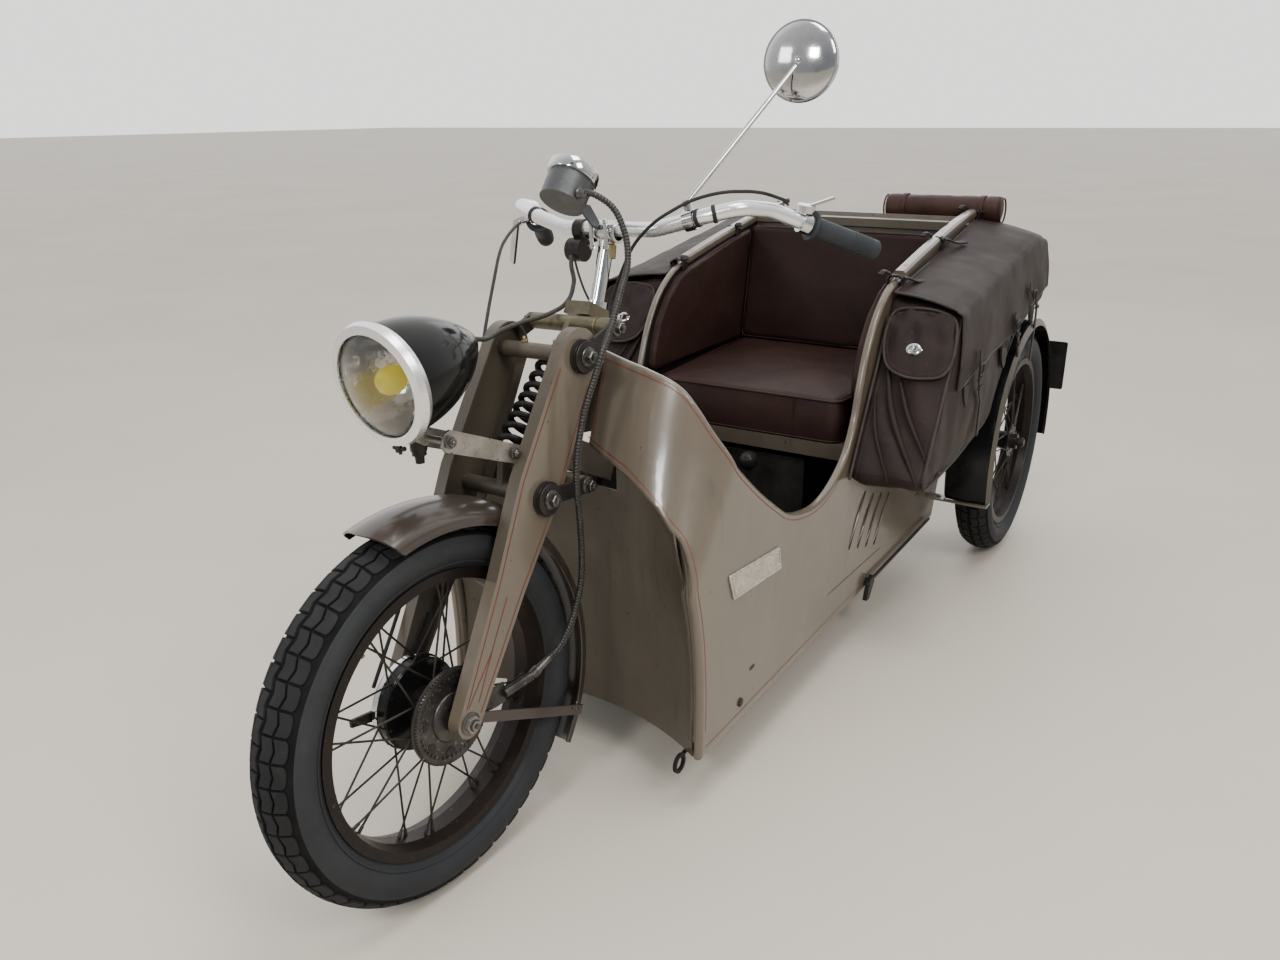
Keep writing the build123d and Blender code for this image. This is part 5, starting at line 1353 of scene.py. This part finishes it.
# ------------------------------------------------------------------ armrest rails
def make_rails():
    section = round_path([(-13, -9), (13, -9), (13, 4), (9, 9), (-9, 9), (-13, 4)], 2, 2)
    parts = []
    for sign in (1, -1):
        line = [vec(-292, sign * 267.5, 811), vec(-475, sign * 267.5, 845), vec(-708, sign * 267.5, 882),
                vec(-838, sign * 267.5, 895)]
        parts.append(tube_data(smooth(line, 5), 1.0, section=section, up=vec(0, 0, 1)))
    add("armrest-rails", *join(parts), "paint", "body", "body_paint", angle=25)
    bolts = []
    for sign in (1, -1):
        for x, z in ((-330, 829), (-600, 876), (-800, 902)):
            bolts.append(revolve_data([(0, 0.2), (0, 5.5), (1.2, 4.8), (2.0, 2.5), (2.2, 0.2)],
                                      vec(x, sign * 267.5, z - 2.0), vec(0.17, 0, 0.985), 16))
    add("armrest-screws", *join(bolts), "steel", "body", "steel")


make_rails()

# ------------------------------------------------------------------ seat
def make_seat():
    # cushion: crowned top, boxed front with a seam, piping round the top edge
    top = round_path([(-95, 222), (-95, -222), (-600, -253), (-600, 253)], [26, 26, 14, 14])
    outline = spaced(top, 22)
    cushion = plate("seat-cushion-shape", outline, 100.0, 15.0, 8.0, lambda p, z, d: vec(p, z, 569 - d),
                    ["seat_leather"], "body", "seat_leather", "seat_cushion",
                    [(1.0, 0.0, list(range(-580, -100, 22))), (0.0, 1.0, list(range(-242, 250, 22)))],
                    crown=11.0, crown_width=95.0, angle=60.0, walls=4, bulge=3.0)
    rumple(cushion, [(4.0, (170, 150, 120), 2.2), (1.4, (60, 55, 70), 5.1)])
    ring = [vec(q[0], q[1], 563.5) for q in outset(outline, 1.2)]
    seams = [vec(-92.5, 119 + 1.5 * math.sin(z / 14.0), z) for z in np.linspace(474, 562, 12)]
    low = [vec(q[0], q[1], 474) for q in outset(outline, 0.6)]
    add("seat-cushion-piping", *join([tube_data(ring, 2.6, 8, closed=True), tube_data(seams, 1.1, 6),
                                      tube_data(low, 2.0, 6, closed=True)]), "seat_leather", "body", "seat_leather")
    # backrest, its leather darkened as painted shade
    f0, f1 = vec(-560, 0, 574), vec(-612, 0, 866)
    run, back = unit(f1 - f0), unit(vec(-292, 0, -52))
    outline = spaced(round_path([(-246, 1), (246, 1), (246, 292), (-246, 292)], 14), 22)
    pad = plate("backrest-shape", outline, 50.0, 13.0, 5.0,
                lambda p, z, d: f0 + run * z + back * d + vec(0, p, 0), ["seat_leather_shaded"], "body",
                "seat_leather", "backrest_pad",
                [(1.0, 0.0, list(range(-240, 246, 22))), (0.0, 1.0, list(range(10, 290, 22)))],
                crown=12.0, crown_width=80.0, angle=60.0, walls=2, bulge=0.0)
    rumple(pad, [(4.0, (120, 150, 130), 7.2), (1.4, (50, 55, 60), 1.1)])
    ring = [f0 + run * q[1] + back * 5.5 + vec(0, q[0], 0) for q in inset_path(
        outline if area2(outline) > 0 else outline[::-1], 2.5)]
    add("backrest-piping", *tube_data(ring, 2.4, 8, closed=True), "seat_leather", "body", "seat_leather")
    # side pads
    line = [(-552, 576), (-100, 576), (-108, 620), (-132, 682), (-176, 738), (-226, 776), (-264, 790), (-475, 832), (-604, 852)]
    for sign in (1, -1):
        side_name = "left" if sign > 0 else "right"
        outline = spaced(round_path(line, [6, 14, 60, 60, 60, 60, 60, 60, 6]), 20)
        sp = plate(f"{side_name}-side-pad", outline, 17.0, 6.5, 2.0,
                   lambda p, z, d: vec(p, sign * (241.0 + d), z), ["seat_leather"], "body", "seat_leather",
                   "side_pads", [(1.0, 0.0, list(range(-596, -106, 20))), (0.0, 1.0, list(range(590, 850, 20)))],
                   crown=7.0, crown_width=60.0, angle=60.0)
        rumple(sp, [(3.0, (140, 100, 90), 4.4 * sign), (1.2, (50, 50, 44), 1.9)],
               lambda c: 0.0 if abs(c.y) > 254 else 1.0)
        ring = [vec(q[0], sign * 246.5, q[1]) for q in inset_path(
            outline if area2(outline) > 0 else outline[::-1], 0.8)]
        add(f"{side_name}-pad-piping", *tube_data(ring, 2.3, 8, closed=True), "seat_leather", "body", "seat_leather")


def outset(outline, dist):
    return inset_path(outline if area2(outline) > 0 else outline[::-1], -dist)


make_seat()


# ------------------------------------------------------------------ roll behind the seat
def make_roll():
    c = vec(-888.4, 26, 899)
    prof, n = [], 44
    for i in range(n + 1):
        h = 308.0 * i / n
        e = min(h, 308 - h)
        r = 35.0 if e > 16 else 35.0 * math.sqrt(max(0.0, 1 - ((16 - e) / 16) ** 2)) * 0.35 + 35.0 * 0.65 * min(1, e / 4)
        for s in (52, 256):
            r -= 2.4 * math.exp(-((h - s) / 9.0) ** 2)
        prof.append((h, max(r, 0.3)))
    verts, faces = revolve_data(prof, c, vec(0, 1, 0), 40)
    roll = add("rear-roll-shape", verts, faces, "roll_leather", "body", "bag_leather", "rear_roll", angle=70)
    rumple(roll, [(3.0, (60, 150, 60), 3.3), (1.5, (30, 70, 30), 8.1), (1.0, (26, 24, 26), 2.4)])
    parts = []
    for y in (52, 256):
        band = [c + vec(36.0 * math.cos(a), y, 36.0 * math.sin(a)) for a in np.linspace(-1.9, 3.9, 26)]
        out = [unit(q - c - vec(0, y, 0)) for q in band]
        parts.append(strap_data(band, 13, 2.0, out))
    for y in (1.5, 306.5):
        parts.append(tube_data([c + vec(31 * math.cos(a), y, 31 * math.sin(a))
                                for a in np.linspace(0, 2 * math.pi, 36, endpoint=False)], 2.4, 8, closed=True))
    add("rear-roll-straps", *join(parts), "roll_leather", "body", "bag_leather")


make_roll()

# ------------------------------------------------------------------ steered parts
STEER_O = vec(484, 0, 831)
STEER_D = vec(-math.sin(math.radians(27)), 0, math.cos(math.radians(27)))


def turned_dir(d, deg=-4.2):
    a, v = math.radians(deg), np.asarray(d, float)
    return v * math.cos(a) + np.cross(STEER_D, v) * math.sin(a) + STEER_D * np.dot(STEER_D, v) * (1 - math.cos(a))


def turned(p):
    return STEER_O + turned_dir(np.asarray(p, float) - STEER_O)


def fork_add(name, data, mat, slot=None, **more):
    """A piece drawn with the wheel straight ahead, turned as the fork stands."""
    return add(name, [turned(v) for v in data[0]], data[1], mat, "fork", slot, **more)


PIVOT_U, PIVOT_L = (632, 792), (738, 592)
HEAD_U, HEAD_L = (545, 822), (640, 585)
BLADE_Y, LINK_Y = 84.0, 90.5


def make_fork_details():
    d = unit(vec(935 - 632, 300 - 792))
    nrm = vec(-d[1], d[0])
    start = vec(632, 792)
    blade = [(0, 44), (215, 51), (370, 35), (578, 24)]

    def half(s):
        return float(np.interp(s, [b[0] for b in blade], [b[1] for b in blade]))
    lines = []
    for sign in (1, -1):
        def on_blade(p, z, dep, sign=sign):
            return vec(p, sign * (BLADE_Y - dep), z)
        for edge in (1, -1):
            path = [start + d * s + nrm * edge * (half(s) - 8.5) for s in np.linspace(34, 560, 30)]
            lines.append(ribbon_data(path, 1.8, on_blade, 0.35))
        stem = [start + d * s + nrm * (3 - 0.03 * (s - 380)) for s in np.linspace(385, 482, 8)]
        lines.append(ribbon_data(stem, 1.8, on_blade, 0.35))
        lines.append(ribbon_data([start + d * s + nrm * ((s - 470) * 0.155) for s in np.linspace(470, 556, 8)],
                                 1.8, on_blade, 0.35))
        lines.append(ribbon_data([start + d * s - nrm * ((s - 470) * 0.06) for s in np.linspace(470, 545, 8)],
                                 1.8, on_blade, 0.35))
    fork_add("fork-lines", join(lines), "stripe", "body_paint", smooth=False)

    discs, plates, bolts, nuts = [], [], [], []
    for sign in (1, -1):
        ax = vec(0, sign, 0)
        for x, z in (PIVOT_U, PIVOT_L):
            at = vec(x, sign * (LINK_Y + 0.1), z)
            discs.append(revolve_data([(0, 0.5), (0, 26.4), (0.7, 27.2), (2.6, 27.2), (3.3, 26.4), (3.3, 0.5)], at, ax, 44))
            plates.append(revolve_data([(3.3, 0.5), (3.3, 24.6), (4.0, 25.4), (6.0, 25.4), (6.8, 24.6), (6.9, 15),
                                        (7.4, 14), (7.5, 0.5)], at, ax, 44))
            bolts.append(revolve_data([(7.4, 0.5), (7.4, 15.0), (8.2, 15.6), (9.4, 15.6), (10.2, 14.8), (10.2, 0.5)],
                                      at, ax, 28))
            bolts.append(bolt_data(at + ax * 10.2, ax, 19, 8.5, 1.6, 3.0, 0.25 + x * 0.01))
        for x, z in (HEAD_U, HEAD_L):
            at = vec(x, sign * (LINK_Y + 0.1), z)
            nuts.append(revolve_data([(0, 6.4), (0, 13.4), (1.4, 13.4), (2.2, 12.6), (2.2, 6.4)], at, ax, 28,
                                     closed_profile=True))
            nuts.append(bolt_data(at + ax * 2.0, ax, 17, 8.5, 1.5, 4.5, 0.5 + z * 0.01))
        at = vec(935, sign * (BLADE_Y + 0.1), 300)
        nuts.append(revolve_data([(0, 8.2), (0, 17.0), (0.5, 17.6), (1.8, 17.6), (2.4, 16.8), (2.4, 8.2)], at, ax, 36,
                                 closed_profile=True))
        bolts.append(bolt_data(vec(935, sign * 92.6, 300), ax, 17, 4.5, 0.0, 5.0, 0.2))
        at = vec(902, sign * 66.1, 722)
        nuts.append(bolt_data(at, ax, 12, 5.5, 1.4, 3.0, 0.7))
        nuts.append(bolt_data(vec(776, sign * 66.1, 672), ax, 11, 5.0, 1.4, 2.0, 0.1))
    fork_add("friction-discs", join(discs), "rim_paint", "dark_steel")
    fork_add("friction-plates", join(plates), "dark_steel", "dark_steel")
    fork_add("fork-bolts", join(bolts), "bolt_steel", "steel")
    fork_add("fork-nuts", join(nuts), "bolt_steel", "steel")
    # the coil spring, its turns a little wider apart at the ends
    s0, s1 = vec(603, 0, 762), vec(723, 0, 648)
    axis, length = unit(s1 - s0), float(np.linalg.norm(s1 - s0))
    e1 = vec(0, 1, 0)
    e2 = np.cross(axis, e1)
    coil = []
    for k in range(8 * 20 + 1):
        w = k / 160.0
        h = length * (w + 0.018 * math.sin(2 * math.pi * w))
        coil.append(s0 + axis * h + (e1 * math.cos(w * 16 * math.pi) + e2 * math.sin(w * 16 * math.pi)) * 22.0)
    fork_add("fork-spring-coil", tube_data(coil, 5.4, 10), "black_paint", "black_paint", stand_for="fork_spring")
    # cross tube with grease nipples and the light ring on the upper yoke
    extra = []
    for y in (-30, 34):
        extra.append(revolve_data([(0, 0.3), (0, 5.2), (3, 5.2), (3.6, 3.2), (8, 3.0), (10, 1.4), (10.4, 0.3)],
                                  vec(632, y, 805), vec(0.2, 0, 1), 14))
    extra.append(revolve_data([(0, 14.3), (0, 15.4), (2.6, 15.4), (2.6, 14.3)], vec(545, 52, 822), vec(0, 1, 0), 32,
                              closed_profile=True))
    fork_add("yoke-fittings", join(extra), "brass", "brass")
    # bolt and lug of the bar's clamp
    lug = []
    for y in (15, -15):
        lug.append(bolt_data(vec(466, y, 976), vec(0, 0, 1), 9, 5, 1.0, 2.0, 0.4 + y))
        lug.append(tube_data([vec(466, y, 978), vec(466, y, 936)], 3.4, 12))
        lug.append(bolt_data(vec(466, y, 940), vec(0, 0, -1), 9, 5, 1.0, 3.0, 0.1))
    fork_add("bar-clamp-bolts", join(lug), "chrome", "chrome")
    fork_add("bar-clamp-collar", revolve_data([(0, 14), (0, 15.6), (22, 15.6), (24, 14)], vec(447, 0, 917),
                                              vec(-0.21, 0, 0.98), 32, closed_profile=True), "brass", "brass")
    # two bands on the bar's left half and one on its right
    bands = []
    for y, t in ((172, None), (197, None), (-172, None)):
        s = abs(y)
        if s < 185:
            p = vec(440, 95, 965) + (vec(424, 185, 987) - vec(440, 95, 965)) * (s - 95) / 90
            ax = unit(vec(-16, 90, 22))
        else:
            p = vec(424, 185, 987) + (vec(396, 234, 998) - vec(424, 185, 987)) * (s - 185) / 49
            ax = unit(vec(-28, 49, 11))
        m = vec(1, 1 if y > 0 else -1, 1)
        bands.append(revolve_data([(-3.4, 12.4), (-3.2, 14.3), (0, 14.9), (3.2, 14.3), (3.4, 12.4)], p * m, ax * m, 28))
    fork_add("bar-bands", join(bands), "rubber_black", "grip_rubber")
    # ribs at the grips' ends
    ribs = []
    for sign in (1, -1):
        end = vec(181, sign * 364, 914)
        gd = unit(vec(181 - 338, sign * (364 - 254), 914 - 990))
        for h in range(8):
            ribs.append(revolve_data([(-1.4, 16.6), (-0.9, 17.7), (0.9, 17.7), (1.4, 16.6)], end - gd * (12 + 5 * h), gd, 28))
        ribs.append(revolve_data([(4, 0.3), (4, 15.0), (6.0, 14.0), (7.6, 10.0), (8.0, 0.3)], end, gd, 28))
        ribs.append(revolve_data([(0, 17), (0, 24.2), (2.2, 25.2), (4.6, 24.2), (5.2, 17)], end - gd * 128.4, gd, 36))
    fork_add("grip-ribs", join(ribs), "grip", "grip_rubber")


make_fork_details()


def make_front_mudguard():
    a = vec(935, 0, 300)
    cr, cc = 87.45, 240.55
    outer = [(-58.0, 293.0), (-58.0, 299.0), (-58.0, 305.0)]
    for t in np.linspace(-40.8, 40.8, 17):
        outer.append((cr * math.sin(math.radians(t)), cc + cr * math.cos(math.radians(t))))
    outer += [(58.0, 305.0), (58.0, 299.0), (58.0, 293.0)]
    inner = [(y * 55.5 / 58.0, r - (0.0 if r < 300 else 2.6)) for y, r in reversed(outer)]
    ring = outer + inner
    m, steps = len(ring), 96
    verts = []
    for k in range(steps + 1):
        w = k / steps
        for y, r in ring:
            point = 2.6 * (1 - (abs(y) / 58.0) ** 1.4) - 1.2 * max(0.0, (303 - r) / 10.0)
            th = math.radians(13.6 + point * max(0.0, 1 - w * 12) - 139.4 * w)
            verts.append(a + vec(math.sin(th) * r, y, math.cos(th) * r))
    faces = [(k * m + i, k * m + (i + 1) % m, (k + 1) * m + (i + 1) % m, (k + 1) * m + i)
             for k in range(steps) for i in range(m)]
    half = len(outer)
    for base in (0, steps * m):
        for i in range(half - 1):
            faces.append((base + i, base + i + 1, base + m - 2 - i, base + m - 1 - i))
    fork_add("front-mudguard-shape", (verts, faces), "guard_paint", "guard_paint", stand_for="front_mudguard", angle=32)
    beads = []
    for y in (58.0, -58.0):
        beads.append(tube_data([a + vec(math.sin(math.radians(t)) * 293.6, y, math.cos(math.radians(t)) * 293.6)
                                for t in np.linspace(12.4, -125.6, 80)], 1.7, 8))
    fork_add("front-mudguard-edges", join(beads), "guard_paint", "guard_paint")
    rivets = []
    for sign in (1, -1):
        for x, z in ((668, 178), (684, 186)):
            rivets.append(revolve_data([(0, 0.3), (0, 4.4), (1.2, 3.6), (2.0, 1.6), (2.1, 0.3)],
                                       vec(x, sign * 61.9, z), vec(0, sign, 0), 14))
    fork_add("stay-end-rivets", join(rivets), "guard_paint", "guard_paint")


make_front_mudguard()


# ------------------------------------------------------------------ cables
def make_cables():
    speedo = [(534, 19, 1029), (538, 50, 1028), (522, 76, 1006), (516, 93, 965), (527, 104, 924), (560, 114, 887),
              (604, 122, 830), (632, 127, 803), (649, 122, 763), (667, 117, 724), (677, 113, 688), (687, 111, 648),
              (690, 109, 601), (681, 104, 540), (676, 99, 470), (678, 96, 431), (688, 91, 392), (704, 87, 357),
              (727, 80, 328), (752, 74, 315), (777, 66.5, 300)]
    path = smooth(speedo, 28)
    P = np.array(path)
    seg = np.linalg.norm(np.diff(P, axis=0), axis=1)
    cum = np.concatenate([[0], np.cumsum(seg)])
    total = cum[-1]
    pitch, per = 5.2, 4
    count = int(total / pitch)
    s = np.linspace(0, total, count * per + 1)
    fine = [np.array([np.interp(x, cum, P[:, k]) for k in range(3)]) for x in s]
    rad = [(4.2, 5.2, 5.7, 5.2)[i % per] for i in range(len(fine))]
    fork_add("speedometer-cable-armour", tube_data(fine, rad, 10), "armour", "cable",
             stand_for="speedometer_cable", angle=80)
    # bright dots between the winding's turns, where its inner edge shows; they are painted glints
    winding = []
    for i in range(0, len(fine) - per, per):
        winding.append(fine[i])
    dots = []
    for k, q in enumerate(winding[:-1]):
        if 6 < k < len(winding) - 10:
            t = unit(winding[k + 1] - q)
            side_v = unit(np.cross(t, vec(0, 0, 1)) if abs(t[2]) < 0.9 else np.cross(t, vec(1, 0, 0)))
            w = np.cross(side_v, t)
            for a in (0.5, 2.1, 3.7, 5.3):
                o = side_v * math.cos(a) + w * math.sin(a)
                c = q + o * 4.75
                dots.append(([c - t * 0.8 - w * 0.7 + o * 0.1, c + t * 0.8 - w * 0.7 + o * 0.1,
                              c + t * 0.8 + w * 0.7 + o * 0.1, c - t * 0.8 + w * 0.7 + o * 0.1], [(0, 1, 2, 3)]))
    fork_add("speedometer-cable-glints", join(dots), "galvanised", "cable", smooth=False)
    d0 = unit(path[1] - path[0])
    d1 = unit(path[-2] - path[-1])
    ends = [revolve_data([(0, 0.3), (0, 8.4), (6, 8.4), (7, 7.0), (20, 6.2), (26, 5.6), (27, 0.3)], path[0] - d0 * 4, d0, 24),
            revolve_data([(0, 0.3), (0, 8.2), (14, 8.0), (15, 6.6), (40, 5.9), (41, 0.3)], path[-1], d1, 24)]
    for h in (2.5, 5.0, 7.5, 10.0):
        ends.append(tube_data([path[-1] + d1 * h + 8.3 * (math.cos(a) * unit(np.cross(d1, vec(0, 0, 1)))
                               + math.sin(a) * unit(np.cross(d1, np.cross(d1, vec(0, 0, 1)))))
                               for a in np.linspace(0, 2 * math.pi, 24, endpoint=False)], 0.7, 5, closed=True))
    fork_add("speedometer-cable-ends", join(ends), "bolt_steel", "chrome")


make_cables()


# ------------------------------------------------------------------ headlamp
def make_lamp():
    dip = math.radians(9.0)
    o = turned(vec(952, 0, 808))
    ax = turned_dir(vec(math.cos(dip), 0, -math.sin(dip)))
    bowl = [(-1, 76.2), (-14, 74.4), (-30, 68.6), (-46, 59.6), (-60, 48.2), (-72, 34.6), (-80, 22.0), (-84, 12.4)]
    back = [(h - 2.0, r + 0.6) for h, r in reversed(bowl)]
    reflector = add("lamp-reflector", *revolve_data(bowl + back, o, ax, 64, closed_profile=True), "reflector", "fork",
                    "mirror_back", "headlamp_bulb_and_reflector")
    add("lamp-bulb", *revolve_data([(-50, 0.3), (-48, 8.0), (-40, 9.0), (-34, 14.5), (-25, 19.0), (-15, 20.5), (-5, 18.6),
                                    (2, 13.5), (6, 7.0), (7, 0.3)], o, ax, 36), "bulb_glass", "fork", "glass")
    add("lamp-bulb-holder", *join([
        revolve_data([(-92, 0.3), (-92, 12.0), (-78, 12.2), (-76, 10.0), (-48, 9.4), (-46, 0.3)], o, ax, 30),
        revolve_data([(-46, 8.6), (-46, 12.0), (-41, 12.4), (-40, 9.2)], o, ax, 30, closed_profile=True)]),
        "brass", "fork", "brass")
    # rim screw below, the post under the bracket and its nut
    low = turned(vec(938, 0, 722))
    down = turned_dir(vec(-0.16, 0, -0.987))
    add("lamp-rim-screw", *join([
        revolve_data([(0, 0.3), (0, 4.6), (9, 4.4), (10, 6.4), (13, 6.6), (14, 3.0), (18, 2.6), (18.5, 0.3)], low, down, 18),
        tube_data([low + down * 8 + turned_dir(vec(0, -11, 0)), low + down * 12, low + down * 8 + turned_dir(vec(0, 11, 0))],
                  [3.6, 2.4, 3.6], 8)]), "dark_steel", "fork", "steel")
    post = turned(vec(902, 0, 716))
    add("lamp-post", *revolve_data([(0, 0.3), (0, 12.5), (14, 12.5), (17, 10.8), (22, 10.6), (23, 7.2), (34, 6.6),
                                    (35, 0.3)], post, turned_dir(vec(0, 0, -1)), 28), "bakelite", "fork", "black_plastic")
    # medallion-free bead between shell and rim
    add("lamp-bead", *tube_data([o - ax * 6.5 + 81.6 * (math.cos(a) * unit(np.cross(ax, vec(0, 0, 1)))
                                 + math.sin(a) * unit(np.cross(ax, np.cross(ax, vec(0, 0, 1)))))
                                 for a in np.linspace(0, 2 * math.pi, 72, endpoint=False)], 1.5, 8, closed=True),
        "rubber_black", "fork", "black_plastic")


make_lamp()


# ------------------------------------------------------------------ mirror head and speedometer dial
def make_mirror():
    c = turned(vec(235, 250, 1216))
    ax = turned_dir(unit(vec(-0.93, -0.12, -0.08)))
    add("mirror-dome", *revolve_data([(9.0, 59.0), (10.4, 60.0), (10.6, 62.4), (8.4, 63.8), (5.0, 63.8), (2.2, 62.6),
                                      (-1.4, 58.0), (-5.2, 49.5), (-8.4, 38.0), (-10.8, 24.0), (-12.2, 10.0), (-12.5, 0.3)],
                                     c, ax, 72), "chrome", "fork", "mirror_back")
    add("mirror-glass", *revolve_data([(9.2, 0.3), (10.2, 0.3), (10.3, 30.0), (10.2, 59.4), (9.2, 59.6)], c, ax, 72),
        "mirror_glass", "fork", "glass")


make_mirror()


def make_dial():
    c = turned(vec(505, -20, 1048))
    ax = turned_dir(unit(vec(-0.62, 0.0, 0.78)))
    e1 = turned_dir(vec(0, 1, 0))
    e2 = np.cross(ax, e1)
    add("dial-rim", *revolve_data([(16.5, 36.0), (17.2, 39.0), (19.4, 40.2), (19.8, 41.8), (17.0, 42.6), (2.0, 42.6),
                                   (0.2, 41.6), (-0.6, 39.0), (-0.6, 36.0)], c, ax, 56, closed_profile=True),
        "chrome", "fork", "chrome")
    add("dial-face", *revolve_data([(17.3, 0.3), (17.4, 20), (17.3, 37.5)], c, ax, 48), "dial_face", "fork", "chrome")
    ink = []
    for k in range(31):
        a = math.radians(225 - 270 * k / 30)
        r0, w = (29.0, 0.8) if k % 5 == 0 else (32.0, 0.4)
        o = e1 * math.cos(a) + e2 * math.sin(a)
        t = np.cross(ax, o)
        p = c + ax * 17.75
        ink.append(([p + o * r0 - t * w, p + o * 35.5 - t * w, p + o * 35.5 + t * w, p + o * r0 + t * w], [(0, 1, 2, 3)]))
    a = math.radians(225)
    o = e1 * math.cos(a) + e2 * math.sin(a)
    t = np.cross(ax, o)
    p = c + ax * 18.2
    ink.append(([p - o * 6 - t * 1.2, p + o * 30 - t * 0.4, p + o * 30 + t * 0.4, p - o * 6 + t * 1.2], [(0, 1, 2, 3)]))
    ink.append(revolve_data([(17.6, 0.2), (17.6, 3.4), (19.0, 3.0), (19.2, 0.2)], c, ax, 20))
    add("dial-marks", *join(ink), "dial_ink", "fork", "black_plastic", smooth=False)
    screws = []
    for k in range(4):
        a = 2 * math.pi * k / 4 + 0.6
        o = e1 * math.cos(a) + e2 * math.sin(a)
        screws.append(revolve_data([(0, 0.2), (0, 2.4), (1.2, 1.8), (1.5, 0.2)], c + ax * 6 + o * 42.3, o, 12))
    add("dial-screws", *join(screws), "dial_ink", "fork", "steel")


make_dial()


# ------------------------------------------------------------------ small pieces of the left panel
def make_panel_details():
    badge = round_path([(514, 419), (313, 398), (300, 349), (493, 366)], 4, 3)
    plate("name-plate-blank", badge, 4.0, 1.2, 0.4, lambda p, z, d: vec(p, 279.4 - d, z), ["badge"], "body", "plate", ())
    frame_line = [vec(q[0], 280.0, q[1]) for q in inset_path(badge if area2(badge) > 0 else badge[::-1], 5)]
    rivets = [revolve_data([(0, 0.3), (0, 3.0), (1.0, 2.4), (1.5, 0.3)], vec(x, 279.3, z), vec(0, 1, 0), 14)
              for x, z in ((500, 404), (322, 389), (314, 362), (486, 378))]
    add("name-plate-border", *join([tube_data(frame_line, 0.9, 6, closed=True)] + rivets), "badge", "body", "plate")
    # flat dark faces on both panels stand for the louvres' openings: painted shade
    slots = []
    for x0, z0, x1, z1 in ((-130, 335, -71, 257), (-185, 313, -126, 240), (-240, 296, -181, 223), (-295, 280, -236, 207)):
        for sign in (1, -1):
            d = unit(vec(x1 - x0, z1 - z0))
            n = vec(-d[1], d[0])
            ring = []
            for k in range(16):
                a = 2 * math.pi * k / 16
                c = vec(x1, z1) + d * 6 if math.cos(a) > 0 else vec(x0, z0) - d * 24
                ring.append(c + d * 5.5 * math.cos(a) + n * 5.5 * math.sin(a))
            front = [vec(q[0], sign * 275.35, q[1]) for q in ring]
            slots.append((front, [tuple(range(16))]))
    add("louvre-slot-shadows", *join(slots), "interior", "body", "black_paint", smooth=False)
    lips = []
    for x0, z0, x1, z1 in ((-130, 335, -71, 257), (-185, 313, -126, 240), (-240, 296, -181, 223), (-295, 280, -236, 207)):
        for sign in (1, -1):
            d = unit(vec(x1 - x0, z1 - z0))
            n = vec(-d[1], d[0]) * (1 if d[0] > 0 else -1)
            mid = [vec(x0, z0) + (vec(x1, z1) - vec(x0, z0)) * w + n * 6.5 for w in np.linspace(-0.22, 1.04, 9)]
            line = [vec(q[0], sign * (275.0 + 1.4 * math.sin(math.pi * i / 8)), q[1]) for i, q in enumerate(mid)]
            lips.append(tube_data(line, [0.8 + 1.8 * math.sin(math.pi * i / 8) for i in range(9)], 8))
    add("louvre-lips", *join(lips), "paint", "body", "body_paint")
    fit = [revolve_data([(0, 0.3), (0, 8.5), (2.5, 8.5), (3.5, 7.0), (3.6, 0.3)], vec(454, 275, 144), vec(0, 1, 0), 24)]
    ring = []
    for k in range(16):
        a = 2 * math.pi * k / 16
        ring.append(vec(408 + (6 if math.cos(a) > 0 else -6) + 4 * math.cos(a), 275.4, 193 + 4 * math.sin(a)))
    fit.append((ring, [tuple(range(16))]))
    add("panel-plug", *join(fit), "dark_steel", "body", "dark_steel")
    seam = [(x, 186 - (44 - x) * 0.043) for x in np.linspace(44, -279, 20)]
    a = ribbon_data([vec(*q) for q in seam], 1.6, flat_left_map, 0.3)
    add("panel-seam", *a, "interior", "body", "black_paint", smooth=False)
    rivets = []
    for x, z in ((-549, 225.4), ):
        for y in (300, 330, 420, 442):
            rivets.append(revolve_data([(0, 0.3), (0, 6.0), (1.6, 5.0), (2.6, 2.6), (2.8, 0.3)], vec(x, y, z - 0.8),
                                       vec(0, 0, 1), 16))
            rivets.append(revolve_data([(0, 0.3), (0, 6.0), (1.6, 5.0), (2.6, 2.6), (2.8, 0.3)], vec(x, -y, z - 0.8),
                                       vec(0, 0, 1), 16))
    # rivets in the body paint's painted shade
    add("stay-rivets", *join(rivets), "paint_dark", "body", "body_paint")


make_panel_details()
